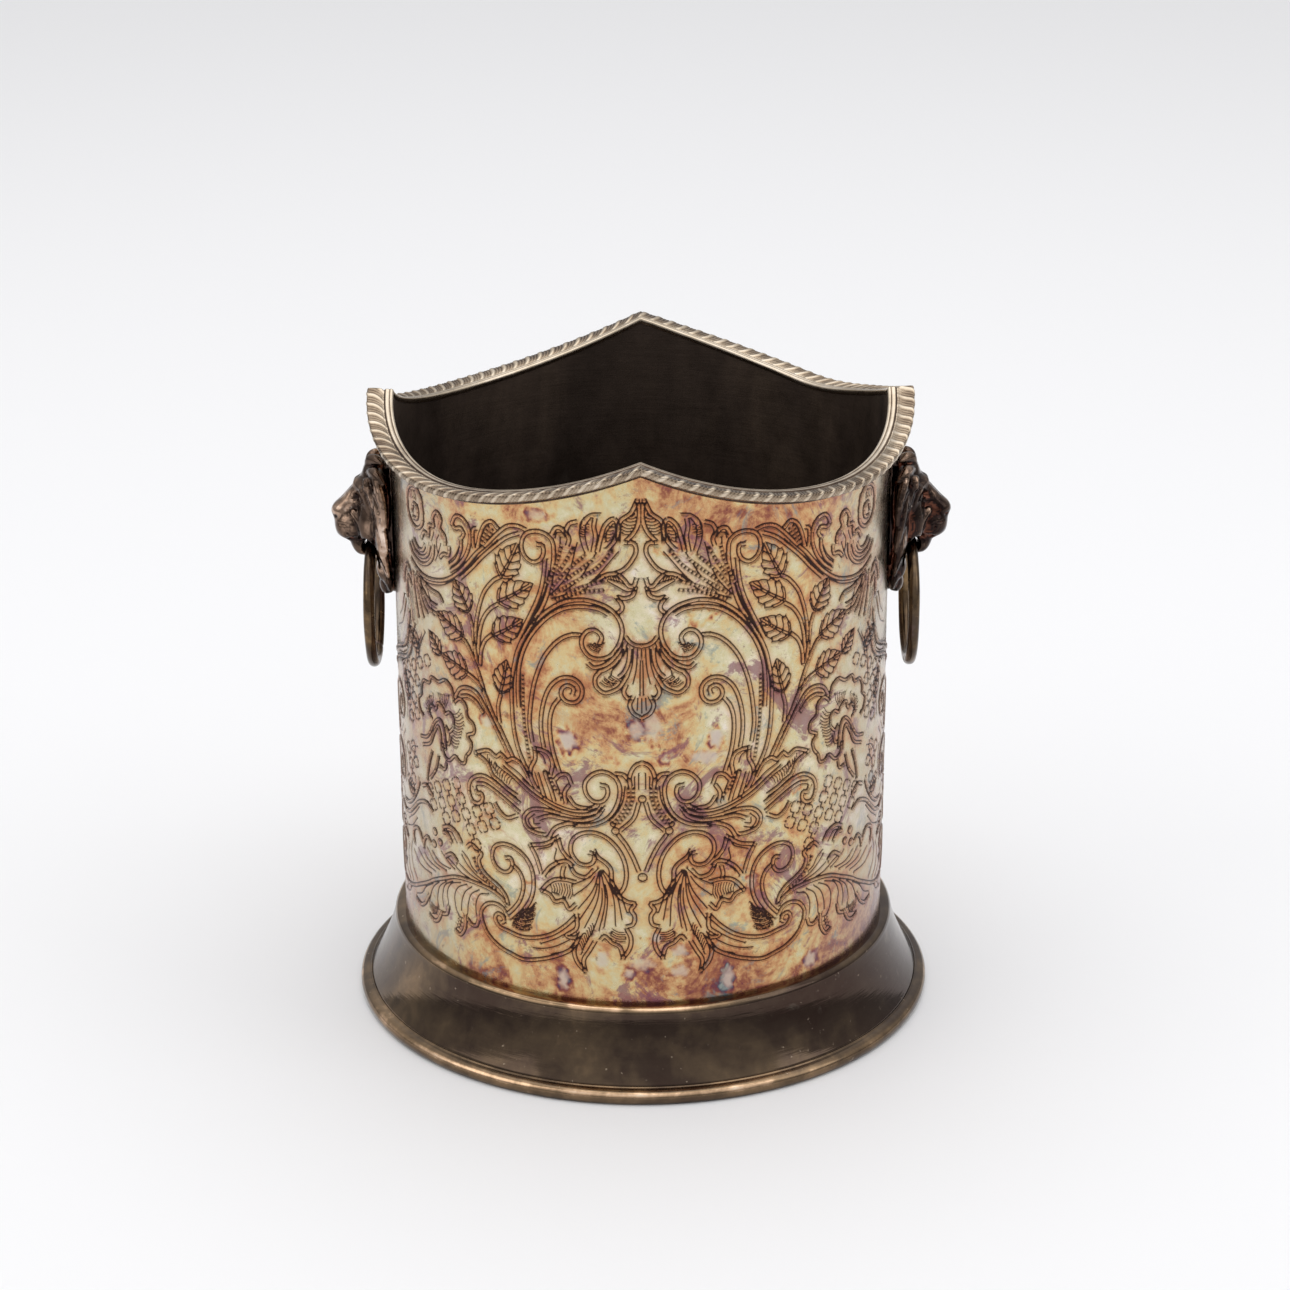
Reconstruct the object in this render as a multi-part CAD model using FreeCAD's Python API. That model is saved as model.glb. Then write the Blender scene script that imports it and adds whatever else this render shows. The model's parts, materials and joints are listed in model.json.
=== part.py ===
import FreeCAD, Part
import math
import os

# A round silver-plated champagne bucket: a rolled wall with a wavy top edge, a floor pan, a cast
# gadroon border in four mitred lengths, a spun foot with a half-round moulding, and two cast lion
# masks, each held by a stud, washer and nut, with a loose ring through the mouth.
# Millimetres. +Z is up, the origin is the middle of the face the foot stands on.
# Angles about Z are measured from the front (-Y) towards the right (+X).

# ---- driving dimensions -------------------------------------------------------------------------
BODY_RADIUS = 75.0           # outside of the wall
SHEET = 0.9                  # thickness of the rolled wall
FOOT_HEIGHT = 26.0           # table to the bottom edge of the wall
RIM_VALLEY_HEIGHT = 179.8    # table to the lowest points of the top edge

# rim: four peaks (front, right, back, left), a little uneven because the edge was cut by hand
RIM_PEAK_RISES = (13.2, 13.4, 15.6, 13.4)
# how hollow each quarter of the edge hangs, from the front peak to the right one and on round
RIM_HOLLOWS = (2.0, 1.45, 2.1, 1.85)
RIM_VALLEY_ANGLE = 48.0      # from the front or back peak to the valley beside it
RIM_LEDGE_WIDTH = 2.85       # plain inner lip
RIM_GADROON_WIDTH = 5.2      # rope-patterned outer band
RIM_INNER_OVERHANG = 0.25    # lip over the inside of the wall
RIM_CAP_DEPTH = 1.8          # top of the lip to the top edge of the wall
RIM_CROWN = 0.55             # gadroon band above the lip
RIM_APRON_DEPTH = 4.0        # top of the lip to the foot of the wire fillet on the wall
RIM_STATIONS = 13            # cross-sections along one quarter

# floor
FLOOR_SHEET = 1.0
FLOOR_FLANGE_DEPTH = 3.0     # turned-down edge, which stands on the foot's inner flange

# foot
FOOT_SHEET = 1.0
FOOT_SHOULDER_RADIUS = 2.2
FOOT_SHOULDER_OVERHANG = 1.3  # wall to the centre of the shoulder's curve
FOOT_SKIRT_RADIUS = 86.4      # outside of the upright skirt under the flare
FOOT_INNER_FLANGE_WIDTH = 8.0
MOULDING_HEIGHT = 4.8
MOULDING_WIDTH = 3.6
MOULDING_FLAT = 1.8          # width of the face that stands on the table
SKIRT_LIFT = 0.3             # the skirt ends this far above the table

# lion masks and rings
MASK_DROP = 28.8             # rim valley to the middle of the mask
MASK_HALF_WIDTH = 17.0
MASK_HALF_HEIGHT = 22.5
MASK_PLATE_DEPTH = 5.5
NOSE_REACH = 18.8            # wall to the tip of the nose
RING_RADIUS = 18.8           # middle of the wire
WIRE_RADIUS = 1.75
PIVOT_REACH = 6.9            # wall to the middle of the wire in the mouth
PIVOT_DROP = 6.0             # middle of the mask down to the middle of the wire in the mouth
CHIN_THICKNESS = 1.6         # metal round the mouth's hole

# fixing of each mask
STUD_RADIUS = 2.0
STUD_RISE = 7.0              # middle of the mask up to the stud
STUD_BITE = 5.0              # how far the stud enters the mask
STUD_TAIL = 0.8              # thread standing out of the nut
NUT_ACROSS_FLATS = 7.0
NUT_HEIGHT = 3.2
WASHER_RADIUS = 4.9
WASHER_THICKNESS = 1.0

# clearances
SOLDER_GAP = 0.03            # between faces that are soldered together
THREAD_GAP = 0.02            # between the stud and the threads round it
HOLE_CLEARANCE = 0.2         # stud hole in the wall
RING_CLEARANCE = 0.35        # wire in the mouth

SIDES = (("right", 0.0), ("left", 180.0))
SEGMENT_NAMES = ("rim_mount_front_right", "rim_mount_back_right",
                 "rim_mount_back_left", "rim_mount_front_left")

# ---- sizes that follow from them ----------------------------------------------------------------
WALL_INSIDE = BODY_RADIUS - SHEET
LIP_INSIDE = WALL_INSIDE - RIM_INNER_OVERHANG
GADROON_INSIDE = LIP_INSIDE + RIM_LEDGE_WIDTH
RIM_OUTSIDE = GADROON_INSIDE + RIM_GADROON_WIDTH
APRON_INSIDE = BODY_RADIUS + SOLDER_GAP
RIM_TOP = RIM_VALLEY_HEIGHT + max(RIM_PEAK_RISES) + RIM_CROWN
MASK_Z = RIM_VALLEY_HEIGHT - MASK_DROP
MASK_SEAT = BODY_RADIUS + SOLDER_GAP
PIVOT_X = BODY_RADIUS + PIVOT_REACH
PIVOT_Z = MASK_Z - PIVOT_DROP
MOUTH_RADIUS = WIRE_RADIUS + RING_CLEARANCE
STUD_Z = MASK_Z + STUD_RISE
WASHER_INSIDE = WALL_INSIDE - SOLDER_GAP - WASHER_THICKNESS

UP = FreeCAD.Vector(0, 0, 1)
OUTWARD = FreeCAD.Vector(1, 0, 0)
ORIGIN = FreeCAD.Vector(0, 0, 0)


# ---- helpers ------------------------------------------------------------------------------------
def on_axis(radius, height):
    """A point of a cross-section in the XZ plane."""
    return FreeCAD.Vector(radius, 0, height)


def placed(radius, angle, height):
    """A point at an angle from the front, towards the right."""
    turn = math.radians(angle)
    return FreeCAD.Vector(radius * math.sin(turn), -radius * math.cos(turn), height)


def arc(start, middle, end):
    return Part.Arc(start, middle, end).toShape()


def line(start, end):
    return Part.makeLine(start, end)


def turned(edges):
    """A solid of revolution about Z from the edges of a closed cross-section."""
    face = Part.Face(Part.Wire(Part.__sortEdges__(edges)))
    return face.revolve(ORIGIN, UP, 360)


def tube(inside, outside, bottom, top):
    """An upright tube."""
    outer = Part.makeCylinder(outside, top - bottom, on_axis(0, bottom))
    inner = Part.makeCylinder(inside, top - bottom, on_axis(0, bottom))
    return outer.cut(inner)


def ellipsoid(centre, radii, tilt=0.0):
    """An ellipsoid with half-axes along X, Y and Z, tilted nose-down about Y."""
    shape = Part.makeSphere(1.0)
    stretch = FreeCAD.Matrix()
    stretch.scale(*radii)
    shape = shape.transformGeometry(stretch)
    shape.rotate(ORIGIN, FreeCAD.Vector(0, 1, 0), tilt)
    shape.translate(centre)
    return shape


def on_side(shape, angle):
    """A copy of a right-hand piece, turned about Z to its own side."""
    copy = shape.copy()
    copy.rotate(ORIGIN, UP, angle)
    return copy


# ---- wavy top edge ------------------------------------------------------------------------------
def rim_height(quarter, angle):
    """Height of the lip at an angle from 0 to 90 degrees into a quarter of the edge."""
    valley = RIM_VALLEY_ANGLE if quarter % 2 == 0 else 90.0 - RIM_VALLEY_ANGLE
    if angle < valley:
        share = 1 - angle / valley
        rise = RIM_PEAK_RISES[quarter]
    else:
        share = (angle - valley) / (90.0 - valley)
        rise = RIM_PEAK_RISES[(quarter + 1) % 4]
    return RIM_VALLEY_HEIGHT + rise * share ** RIM_HOLLOWS[quarter]


def along_edge(quarter, section):
    """A solid that carries section(place) along one quarter of the edge."""
    wires = []
    for station in range(RIM_STATIONS):
        into = 90.0 * station / (RIM_STATIONS - 1)
        lip = rim_height(quarter, into)

        def place(radius, rise, angle=90.0 * quarter + into, lip=lip):
            return placed(radius, angle, lip + rise)

        wires.append(Part.Wire(section(place)))
    return Part.makeLoft(wires, True, False)


def rim_section(place):
    """Border: lip, gadroon band, rounded outer edge, tuck and wire fillet against the wall."""
    lip_start = place(LIP_INSIDE, -0.3)
    lip_top = place((LIP_INSIDE + GADROON_INSIDE) / 2, 0)
    band_start = place(GADROON_INSIDE, -0.25)
    band_crown = place(GADROON_INSIDE + RIM_GADROON_WIDTH * 0.45, RIM_CROWN)
    band_end = place(RIM_OUTSIDE - 0.4, -0.5)
    edge = place(RIM_OUTSIDE, -1.2)
    edge_end = place(RIM_OUTSIDE - 0.9, -1.9)
    tuck = place(GADROON_INSIDE + 0.6, -2.6)
    fillet = place(GADROON_INSIDE + 0.35, -RIM_APRON_DEPTH + 0.4)
    apron_foot = place(APRON_INSIDE, -RIM_APRON_DEPTH)
    seat_outside = place(APRON_INSIDE, -RIM_CAP_DEPTH)
    seat_inside = place(LIP_INSIDE, -RIM_CAP_DEPTH)
    return [line(seat_inside, lip_start), arc(lip_start, lip_top, band_start),
            arc(band_start, band_crown, band_end), arc(band_end, edge, edge_end),
            line(edge_end, tuck), arc(tuck, fillet, apron_foot),
            line(apron_foot, seat_outside), line(seat_outside, seat_inside)]


def above_wall_section(place):
    """Everything above the wall's top edge."""
    inside = WALL_INSIDE - 5
    outside = BODY_RADIUS + 5
    top = max(RIM_PEAK_RISES) + 10
    corners = [place(inside, -RIM_CAP_DEPTH), place(outside, -RIM_CAP_DEPTH),
               place(outside, top), place(inside, top)]
    return [line(corners[i], corners[(i + 1) % 4]) for i in range(4)]


# ---- body ---------------------------------------------------------------------------------------
def stud_hole(angle):
    hole = Part.makeCylinder(STUD_RADIUS + HOLE_CLEARANCE, SHEET + 6,
                             on_axis(WALL_INSIDE - 3, STUD_Z), OUTWARD)
    return on_side(hole, angle)


def body_wall():
    wall = tube(WALL_INSIDE, BODY_RADIUS, FOOT_HEIGHT, RIM_TOP)
    for quarter in range(4):
        wall = wall.cut(along_edge(quarter, above_wall_section))
    for _, angle in SIDES:
        wall = wall.cut(stud_hole(angle))
    return wall


def bucket_floor():
    outside = WALL_INSIDE - SOLDER_GAP
    top = FOOT_HEIGHT + FLOOR_FLANGE_DEPTH
    pan = Part.makeCylinder(outside, FLOOR_FLANGE_DEPTH, on_axis(0, FOOT_HEIGHT))
    rim_edges = [edge for edge in pan.Edges
                 if isinstance(edge.Curve, Part.Circle) and edge.CenterOfMass.z > top - 0.01]
    pan = pan.makeFillet(FLOOR_SHEET, rim_edges)
    hollow = Part.makeCylinder(outside - FLOOR_SHEET, FLOOR_FLANGE_DEPTH - FLOOR_SHEET,
                               on_axis(0, FOOT_HEIGHT))
    return pan.cut(hollow)


# ---- foot ---------------------------------------------------------------------------------------
def flare_points(inset):
    """The hollow curve of the foot, set in by a distance, from the shoulder to the skirt."""
    shoulder_x = BODY_RADIUS + FOOT_SHOULDER_OVERHANG + FOOT_SHOULDER_RADIUS
    shoulder_z = FOOT_HEIGHT - FOOT_SHOULDER_RADIUS
    reach = FOOT_SKIRT_RADIUS - shoulder_x
    fall = shoulder_z - MOULDING_HEIGHT
    poles = [(0, 0), (0.19 * reach, 0.39 * fall), (0.63 * reach, 0.76 * fall), (reach, fall)]
    curve = Part.BezierCurve()
    curve.setPoles([on_axis(shoulder_x + x, shoulder_z - z) for x, z in poles])
    points = []
    steps = 8
    for step in range(steps + 1):
        place = curve.value(step / steps)
        along = curve.tangent(step / steps)[0]
        points.append(on_axis(place.x + along.z * inset, place.z - along.x * inset))
    return points


def smooth(points):
    curve = Part.BSplineCurve()
    curve.interpolate(points)
    return curve.toShape()


def foot_flare():
    """One spun sheet: inner flange, shoulder, hollow flare and upright skirt."""
    outer = flare_points(0)
    inner = flare_points(FOOT_SHEET)
    centre = (BODY_RADIUS + FOOT_SHOULDER_OVERHANG, FOOT_HEIGHT - FOOT_SHOULDER_RADIUS)
    flange_inside = WALL_INSIDE - FOOT_INNER_FLANGE_WIDTH
    quarter_turn = math.sqrt(0.5)

    def shoulder(radius):
        return (on_axis(centre[0], centre[1] + radius),
                on_axis(centre[0] + radius * quarter_turn, centre[1] + radius * quarter_turn))

    outer_top, outer_middle = shoulder(FOOT_SHOULDER_RADIUS)
    inner_top, inner_middle = shoulder(FOOT_SHOULDER_RADIUS - FOOT_SHEET)
    flange_top = on_axis(flange_inside, outer_top.z)
    flange_bottom = on_axis(flange_inside, inner_top.z)
    skirt_outer = on_axis(outer[-1].x, SKIRT_LIFT)
    skirt_inner = on_axis(inner[-1].x, SKIRT_LIFT)
    return turned([line(flange_bottom, flange_top), line(flange_top, outer_top),
                   arc(outer_top, outer_middle, outer[0]), smooth(outer),
                   line(outer[-1], skirt_outer), line(skirt_outer, skirt_inner),
                   line(skirt_inner, inner[-1]), smooth(inner),
                   arc(inner[0], inner_middle, inner_top), line(inner_top, flange_bottom)])


def foot_rim_moulding():
    """Half-round wire with a flat underside, soldered round the skirt."""
    inside = FOOT_SKIRT_RADIUS + SOLDER_GAP
    outside = FOOT_SKIRT_RADIUS + MOULDING_WIDTH
    low_inside = on_axis(inside, 0)
    low_outside = on_axis(inside + MOULDING_FLAT, 0)
    bulge = on_axis(outside, MOULDING_HEIGHT * 0.48)
    high_outside = on_axis(inside + 0.9, MOULDING_HEIGHT)
    high_inside = on_axis(inside, MOULDING_HEIGHT)
    return turned([line(low_inside, low_outside), arc(low_outside, bulge, high_outside),
                   line(high_outside, high_inside), line(high_inside, low_inside)])


# ---- masks, rings and fixings, drawn on the right-hand side -------------------------------------
def ring_sweep():
    """The space that the wire takes up near the mouth as the ring swings right round."""
    reach = RING_RADIUS * 0.8
    steps = 8
    points = []
    for step in range(-steps, steps + 1):
        across = reach * step / steps
        sag = RING_RADIUS - math.sqrt(RING_RADIUS ** 2 - across ** 2)
        slope = across / math.sqrt(RING_RADIUS ** 2 - across ** 2)
        radius = sag + MOUTH_RADIUS * math.sqrt(1 + slope ** 2)
        points.append(FreeCAD.Vector(PIVOT_X, across, PIVOT_Z + radius))
    ends = [FreeCAD.Vector(PIVOT_X, reach, PIVOT_Z), FreeCAD.Vector(PIVOT_X, -reach, PIVOT_Z)]
    edges = [smooth(points), line(points[-1], ends[0]), line(ends[0], ends[1]),
             line(ends[1], points[0])]
    face = Part.Face(Part.Wire(Part.__sortEdges__(edges)))
    return face.revolve(FreeCAD.Vector(PIVOT_X, 0, PIVOT_Z), FreeCAD.Vector(0, 1, 0), 360)


def stud_rod(radius, start, end):
    return Part.makeCylinder(radius, end - start, on_axis(start, STUD_Z), OUTWARD)


def lion_mask():
    """Cast head on an oval mane plate, seated on the wall, with a hole through the mouth."""
    nose_x = BODY_RADIUS + NOSE_REACH
    chin_radius = MOUTH_RADIUS + CHIN_THICKNESS
    pieces = [
        ellipsoid(on_axis(BODY_RADIUS + 4, MASK_Z + 8.5), (7.5, 11.5, 12.5)),
        ellipsoid(on_axis(nose_x - 10.6, MASK_Z + 4.6), (11.2, 6.6, 7.0), 22),
        ellipsoid(on_axis(BODY_RADIUS + 5, MASK_Z + 3), (7.5, 10.5, 9.5)),
        ellipsoid(on_axis(PIVOT_X + 0.9, PIVOT_Z + 0.6), (chin_radius + 0.9, 4.6, chin_radius + 0.3)),
    ]
    mask = ellipsoid(on_axis(BODY_RADIUS - 0.5, MASK_Z),
                     (MASK_PLATE_DEPTH, MASK_HALF_WIDTH, MASK_HALF_HEIGHT))
    for piece in pieces:
        mask = mask.fuse(piece)
    mask = mask.cut(Part.makeCylinder(MASK_SEAT, 4 * MASK_HALF_HEIGHT,
                                      on_axis(0, MASK_Z - 2 * MASK_HALF_HEIGHT)))
    mask = mask.cut(ring_sweep())
    mask = mask.cut(stud_rod(STUD_RADIUS + THREAD_GAP, MASK_SEAT - 1,
                             MASK_SEAT + STUD_BITE + THREAD_GAP))
    return max(mask.Solids, key=lambda solid: solid.Volume)


def mask_stud():
    return stud_rod(STUD_RADIUS, WASHER_INSIDE - NUT_HEIGHT - STUD_TAIL, MASK_SEAT + STUD_BITE)


def mask_washer():
    """A washer bent to the inside of the wall."""
    disc = stud_rod(WASHER_RADIUS, WASHER_INSIDE - 2, WALL_INSIDE + 2)
    disc = disc.cut(stud_rod(STUD_RADIUS + HOLE_CLEARANCE, WASHER_INSIDE - 3, WALL_INSIDE + 3))
    bottom = STUD_Z - 2 * WASHER_RADIUS
    top = STUD_Z + 2 * WASHER_RADIUS
    return disc.common(tube(WASHER_INSIDE, WALL_INSIDE - SOLDER_GAP, bottom, top))


def mask_nut():
    """A hexagon nut whose seat follows the washer's bend."""
    corner = NUT_ACROSS_FLATS / math.sqrt(3)
    start = WASHER_INSIDE - NUT_HEIGHT
    corners = []
    for step in range(7):
        turn = math.radians(60 * step)
        corners.append(FreeCAD.Vector(start, corner * math.cos(turn),
                                      STUD_Z + corner * math.sin(turn)))
    hexagon = Part.Face(Part.makePolygon(corners))
    nut = hexagon.extrude(OUTWARD * (NUT_HEIGHT + 1))
    chamfer = Part.makeCone(corner * 0.86, corner * 0.86 + 2 * (NUT_HEIGHT + 1), NUT_HEIGHT + 1,
                            on_axis(start, STUD_Z), OUTWARD)
    nut = nut.common(chamfer)
    nut = nut.cut(stud_rod(STUD_RADIUS + THREAD_GAP, start - 1, WALL_INSIDE))
    seat = tube(WASHER_INSIDE - SOLDER_GAP, BODY_RADIUS, STUD_Z - 10, STUD_Z + 10)
    return nut.cut(seat)


def handle_ring():
    centre = on_axis(PIVOT_X, PIVOT_Z - RING_RADIUS)
    return Part.makeTorus(RING_RADIUS, WIRE_RADIUS, centre, OUTWARD)


# ---- all pieces ---------------------------------------------------------------------------------
def build():
    pieces = {
        "body_wall": body_wall(),
        "bucket_floor": bucket_floor(),
        "foot_flare": foot_flare(),
        "foot_rim_moulding": foot_rim_moulding(),
    }
    for quarter, name in enumerate(SEGMENT_NAMES):
        pieces[name] = along_edge(quarter, rim_section)
    side_pieces = {
        "lion_mask": lion_mask(),
        "mask_stud": mask_stud(),
        "mask_washer": mask_washer(),
        "mask_nut": mask_nut(),
        "handle_ring": handle_ring(),
    }
    for side, angle in SIDES:
        for name, shape in side_pieces.items():
            pieces[name + "_" + side] = on_side(shape, angle)
    return pieces


os.makedirs("parts", exist_ok=True)
for node, shape in build().items():
    print(node, "valid", shape.isValid(), "solids", len(shape.Solids), "volume", round(shape.Volume))
    shape.exportStep("parts/" + node + ".step")
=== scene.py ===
import json
import math

import bmesh
import bpy
import numpy as np
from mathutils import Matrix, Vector
from mathutils.geometry import delaunay_2d_cdt


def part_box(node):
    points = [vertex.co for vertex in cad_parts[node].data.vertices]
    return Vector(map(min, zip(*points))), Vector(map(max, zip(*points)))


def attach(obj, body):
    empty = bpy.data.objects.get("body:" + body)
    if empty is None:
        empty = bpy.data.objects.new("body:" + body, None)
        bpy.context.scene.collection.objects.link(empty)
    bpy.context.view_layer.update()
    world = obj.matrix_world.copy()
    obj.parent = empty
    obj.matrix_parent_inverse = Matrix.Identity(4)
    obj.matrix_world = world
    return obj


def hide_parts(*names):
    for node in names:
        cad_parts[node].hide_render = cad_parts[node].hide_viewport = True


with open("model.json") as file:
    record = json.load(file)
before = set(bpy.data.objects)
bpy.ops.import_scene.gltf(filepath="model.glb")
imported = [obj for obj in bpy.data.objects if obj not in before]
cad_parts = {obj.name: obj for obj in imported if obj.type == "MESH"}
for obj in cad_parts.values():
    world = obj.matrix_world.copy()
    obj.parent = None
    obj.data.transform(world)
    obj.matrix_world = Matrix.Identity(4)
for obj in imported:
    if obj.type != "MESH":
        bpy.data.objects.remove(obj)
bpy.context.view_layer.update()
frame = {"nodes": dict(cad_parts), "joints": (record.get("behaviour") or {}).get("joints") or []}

# The champagne bucket's looks: engraved tarnished wall, gadroon rim, spun foot, lion masks, rings.
# Lengths are millimetres until a mesh is made, when they are turned into metres.
# Angles go round Z from the front (-Y) towards the right (+X).
MM = 0.001
random = np.random.default_rng(7)

# ---- sizes read from the frame ------------------------------------------------------------------


def node_box(node):
    """Lowest and highest corners of a CAD node, in millimetres."""
    low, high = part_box(node)
    return np.array(low) / MM, np.array(high) / MM


def node_points(node):
    """A CAD node's vertices, in millimetres."""
    mesh = frame["nodes"][node].data
    points = np.empty(len(mesh.vertices) * 3)
    mesh.vertices.foreach_get("co", points)
    return points.reshape(-1, 3) / MM


WALL_LOW, WALL_HIGH = node_box("body_wall")
WALL_RADIUS = WALL_HIGH[0]
WALL_FOOT = WALL_LOW[2]
SHEET = 0.9
QUARTER = WALL_RADIUS * math.pi / 2     # unrolled width of a quarter of the wall
RIM_CAP = 1.8                           # wall's top edge up to the lip of the rim
RIM_LIP_INSIDE = WALL_RADIUS - SHEET - 0.25
FOOT_RADIUS = node_box("foot_rim_moulding")[1][0]
MASK_LOW, MASK_HIGH = node_box("lion_mask_right")
MASK_Z = (MASK_LOW[2] + MASK_HIGH[2]) / 2
JOINT = next(joint for joint in frame["joints"] if joint["name"] == "ring_right_swing")
PIVOT = np.array(JOINT["pos_m"]) / MM


def wall_edge():
    """Height of the wall's top edge at each whole degree, from the CAD wall's highest points."""
    points = node_points("body_wall")
    radius = np.hypot(points[:, 0], points[:, 1])
    angle = np.degrees(np.arctan2(points[:, 0], -points[:, 1])) % 360
    edge = (radius > WALL_RADIUS - 0.2) & (points[:, 2] > MASK_Z + 20)
    order = np.argsort(angle[edge])
    return np.interp(np.arange(361), angle[edge][order], points[edge][order, 2], period=360)


EDGE = wall_edge()


def edge_height(angle):
    """Top edge of the wall at any angle in degrees."""
    return np.interp(np.asarray(angle) % 360, np.arange(361), EDGE)


# ---- mesh helpers -------------------------------------------------------------------------------
def wrapped(radius, angle, height):
    """Points from radius, angle in degrees and height, in millimetres."""
    turn = np.radians(angle)
    return np.stack(np.broadcast_arrays(radius * np.sin(turn), -radius * np.cos(turn), height), -1)


def make_mesh(name, points, faces):
    """A mesh object from points in millimetres and a list of faces."""
    mesh = bpy.data.meshes.new(name)
    mesh.from_pydata((np.asarray(points) * MM).tolist(), [], [list(f) for f in faces])
    mesh.update()
    mesh.polygons.foreach_set("use_smooth", [True] * len(mesh.polygons))
    piece = bpy.data.objects.new(name, mesh)
    bpy.context.collection.objects.link(piece)
    return piece


def grid_faces(rows, columns, wrap_rows=False, wrap_columns=False):
    """Quads of a grid whose points are numbered row by row."""
    faces = []
    for row in range(rows if wrap_rows else rows - 1):
        below = (row + 1) % rows
        for column in range(columns if wrap_columns else columns - 1):
            right = (column + 1) % columns
            faces.append((row * columns + column, row * columns + right,
                          below * columns + right, below * columns + column))
    return faces


def turn_outwards(piece, smoothing=0):
    """Turns the faces of a closed mesh outwards, then evens out its points a few times."""
    work = bmesh.new()
    work.from_mesh(piece.data)
    bmesh.ops.recalc_face_normals(work, faces=work.faces)
    for _ in range(smoothing):
        bmesh.ops.smooth_vert(work, verts=work.verts, factor=0.35, use_axis_x=True,
                              use_axis_y=True, use_axis_z=True)
    work.to_mesh(piece.data)
    work.free()


def add_value(piece, name, values):
    """A number on every point, for the material to read."""
    layer = piece.data.attributes.new(name, "FLOAT", "POINT")
    layer.data.foreach_set("value", np.asarray(values, dtype=np.float32))


def finished(piece, body, material, node):
    """Gives a piece its material and body, and hides the CAD node that it stands for."""
    piece.data.materials.append(material)
    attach(piece, body)
    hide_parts(node)


# ---- engraved ornament --------------------------------------------------------------------------
# Drawn flat on a quarter of the wall: across from the front peak (0) to the side peak (QUARTER),
# height above the table. It is mirrored about both edges, so it runs on all round the bucket.
LINE = 0.36                  # half-width of an engraved line
FINE = 0.23                  # half-width of a hatching line
BAND = 1.15                  # between the two lines of a band
BEAD = 0.42                  # radius of a bead
BEAD_PITCH = 1.32
ENGRAVED_DEPTH = 0.34
RAISED_HEIGHT = 0.3
SWELL = 0.1                  # how far ornamented ground stands above plain ground

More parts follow.
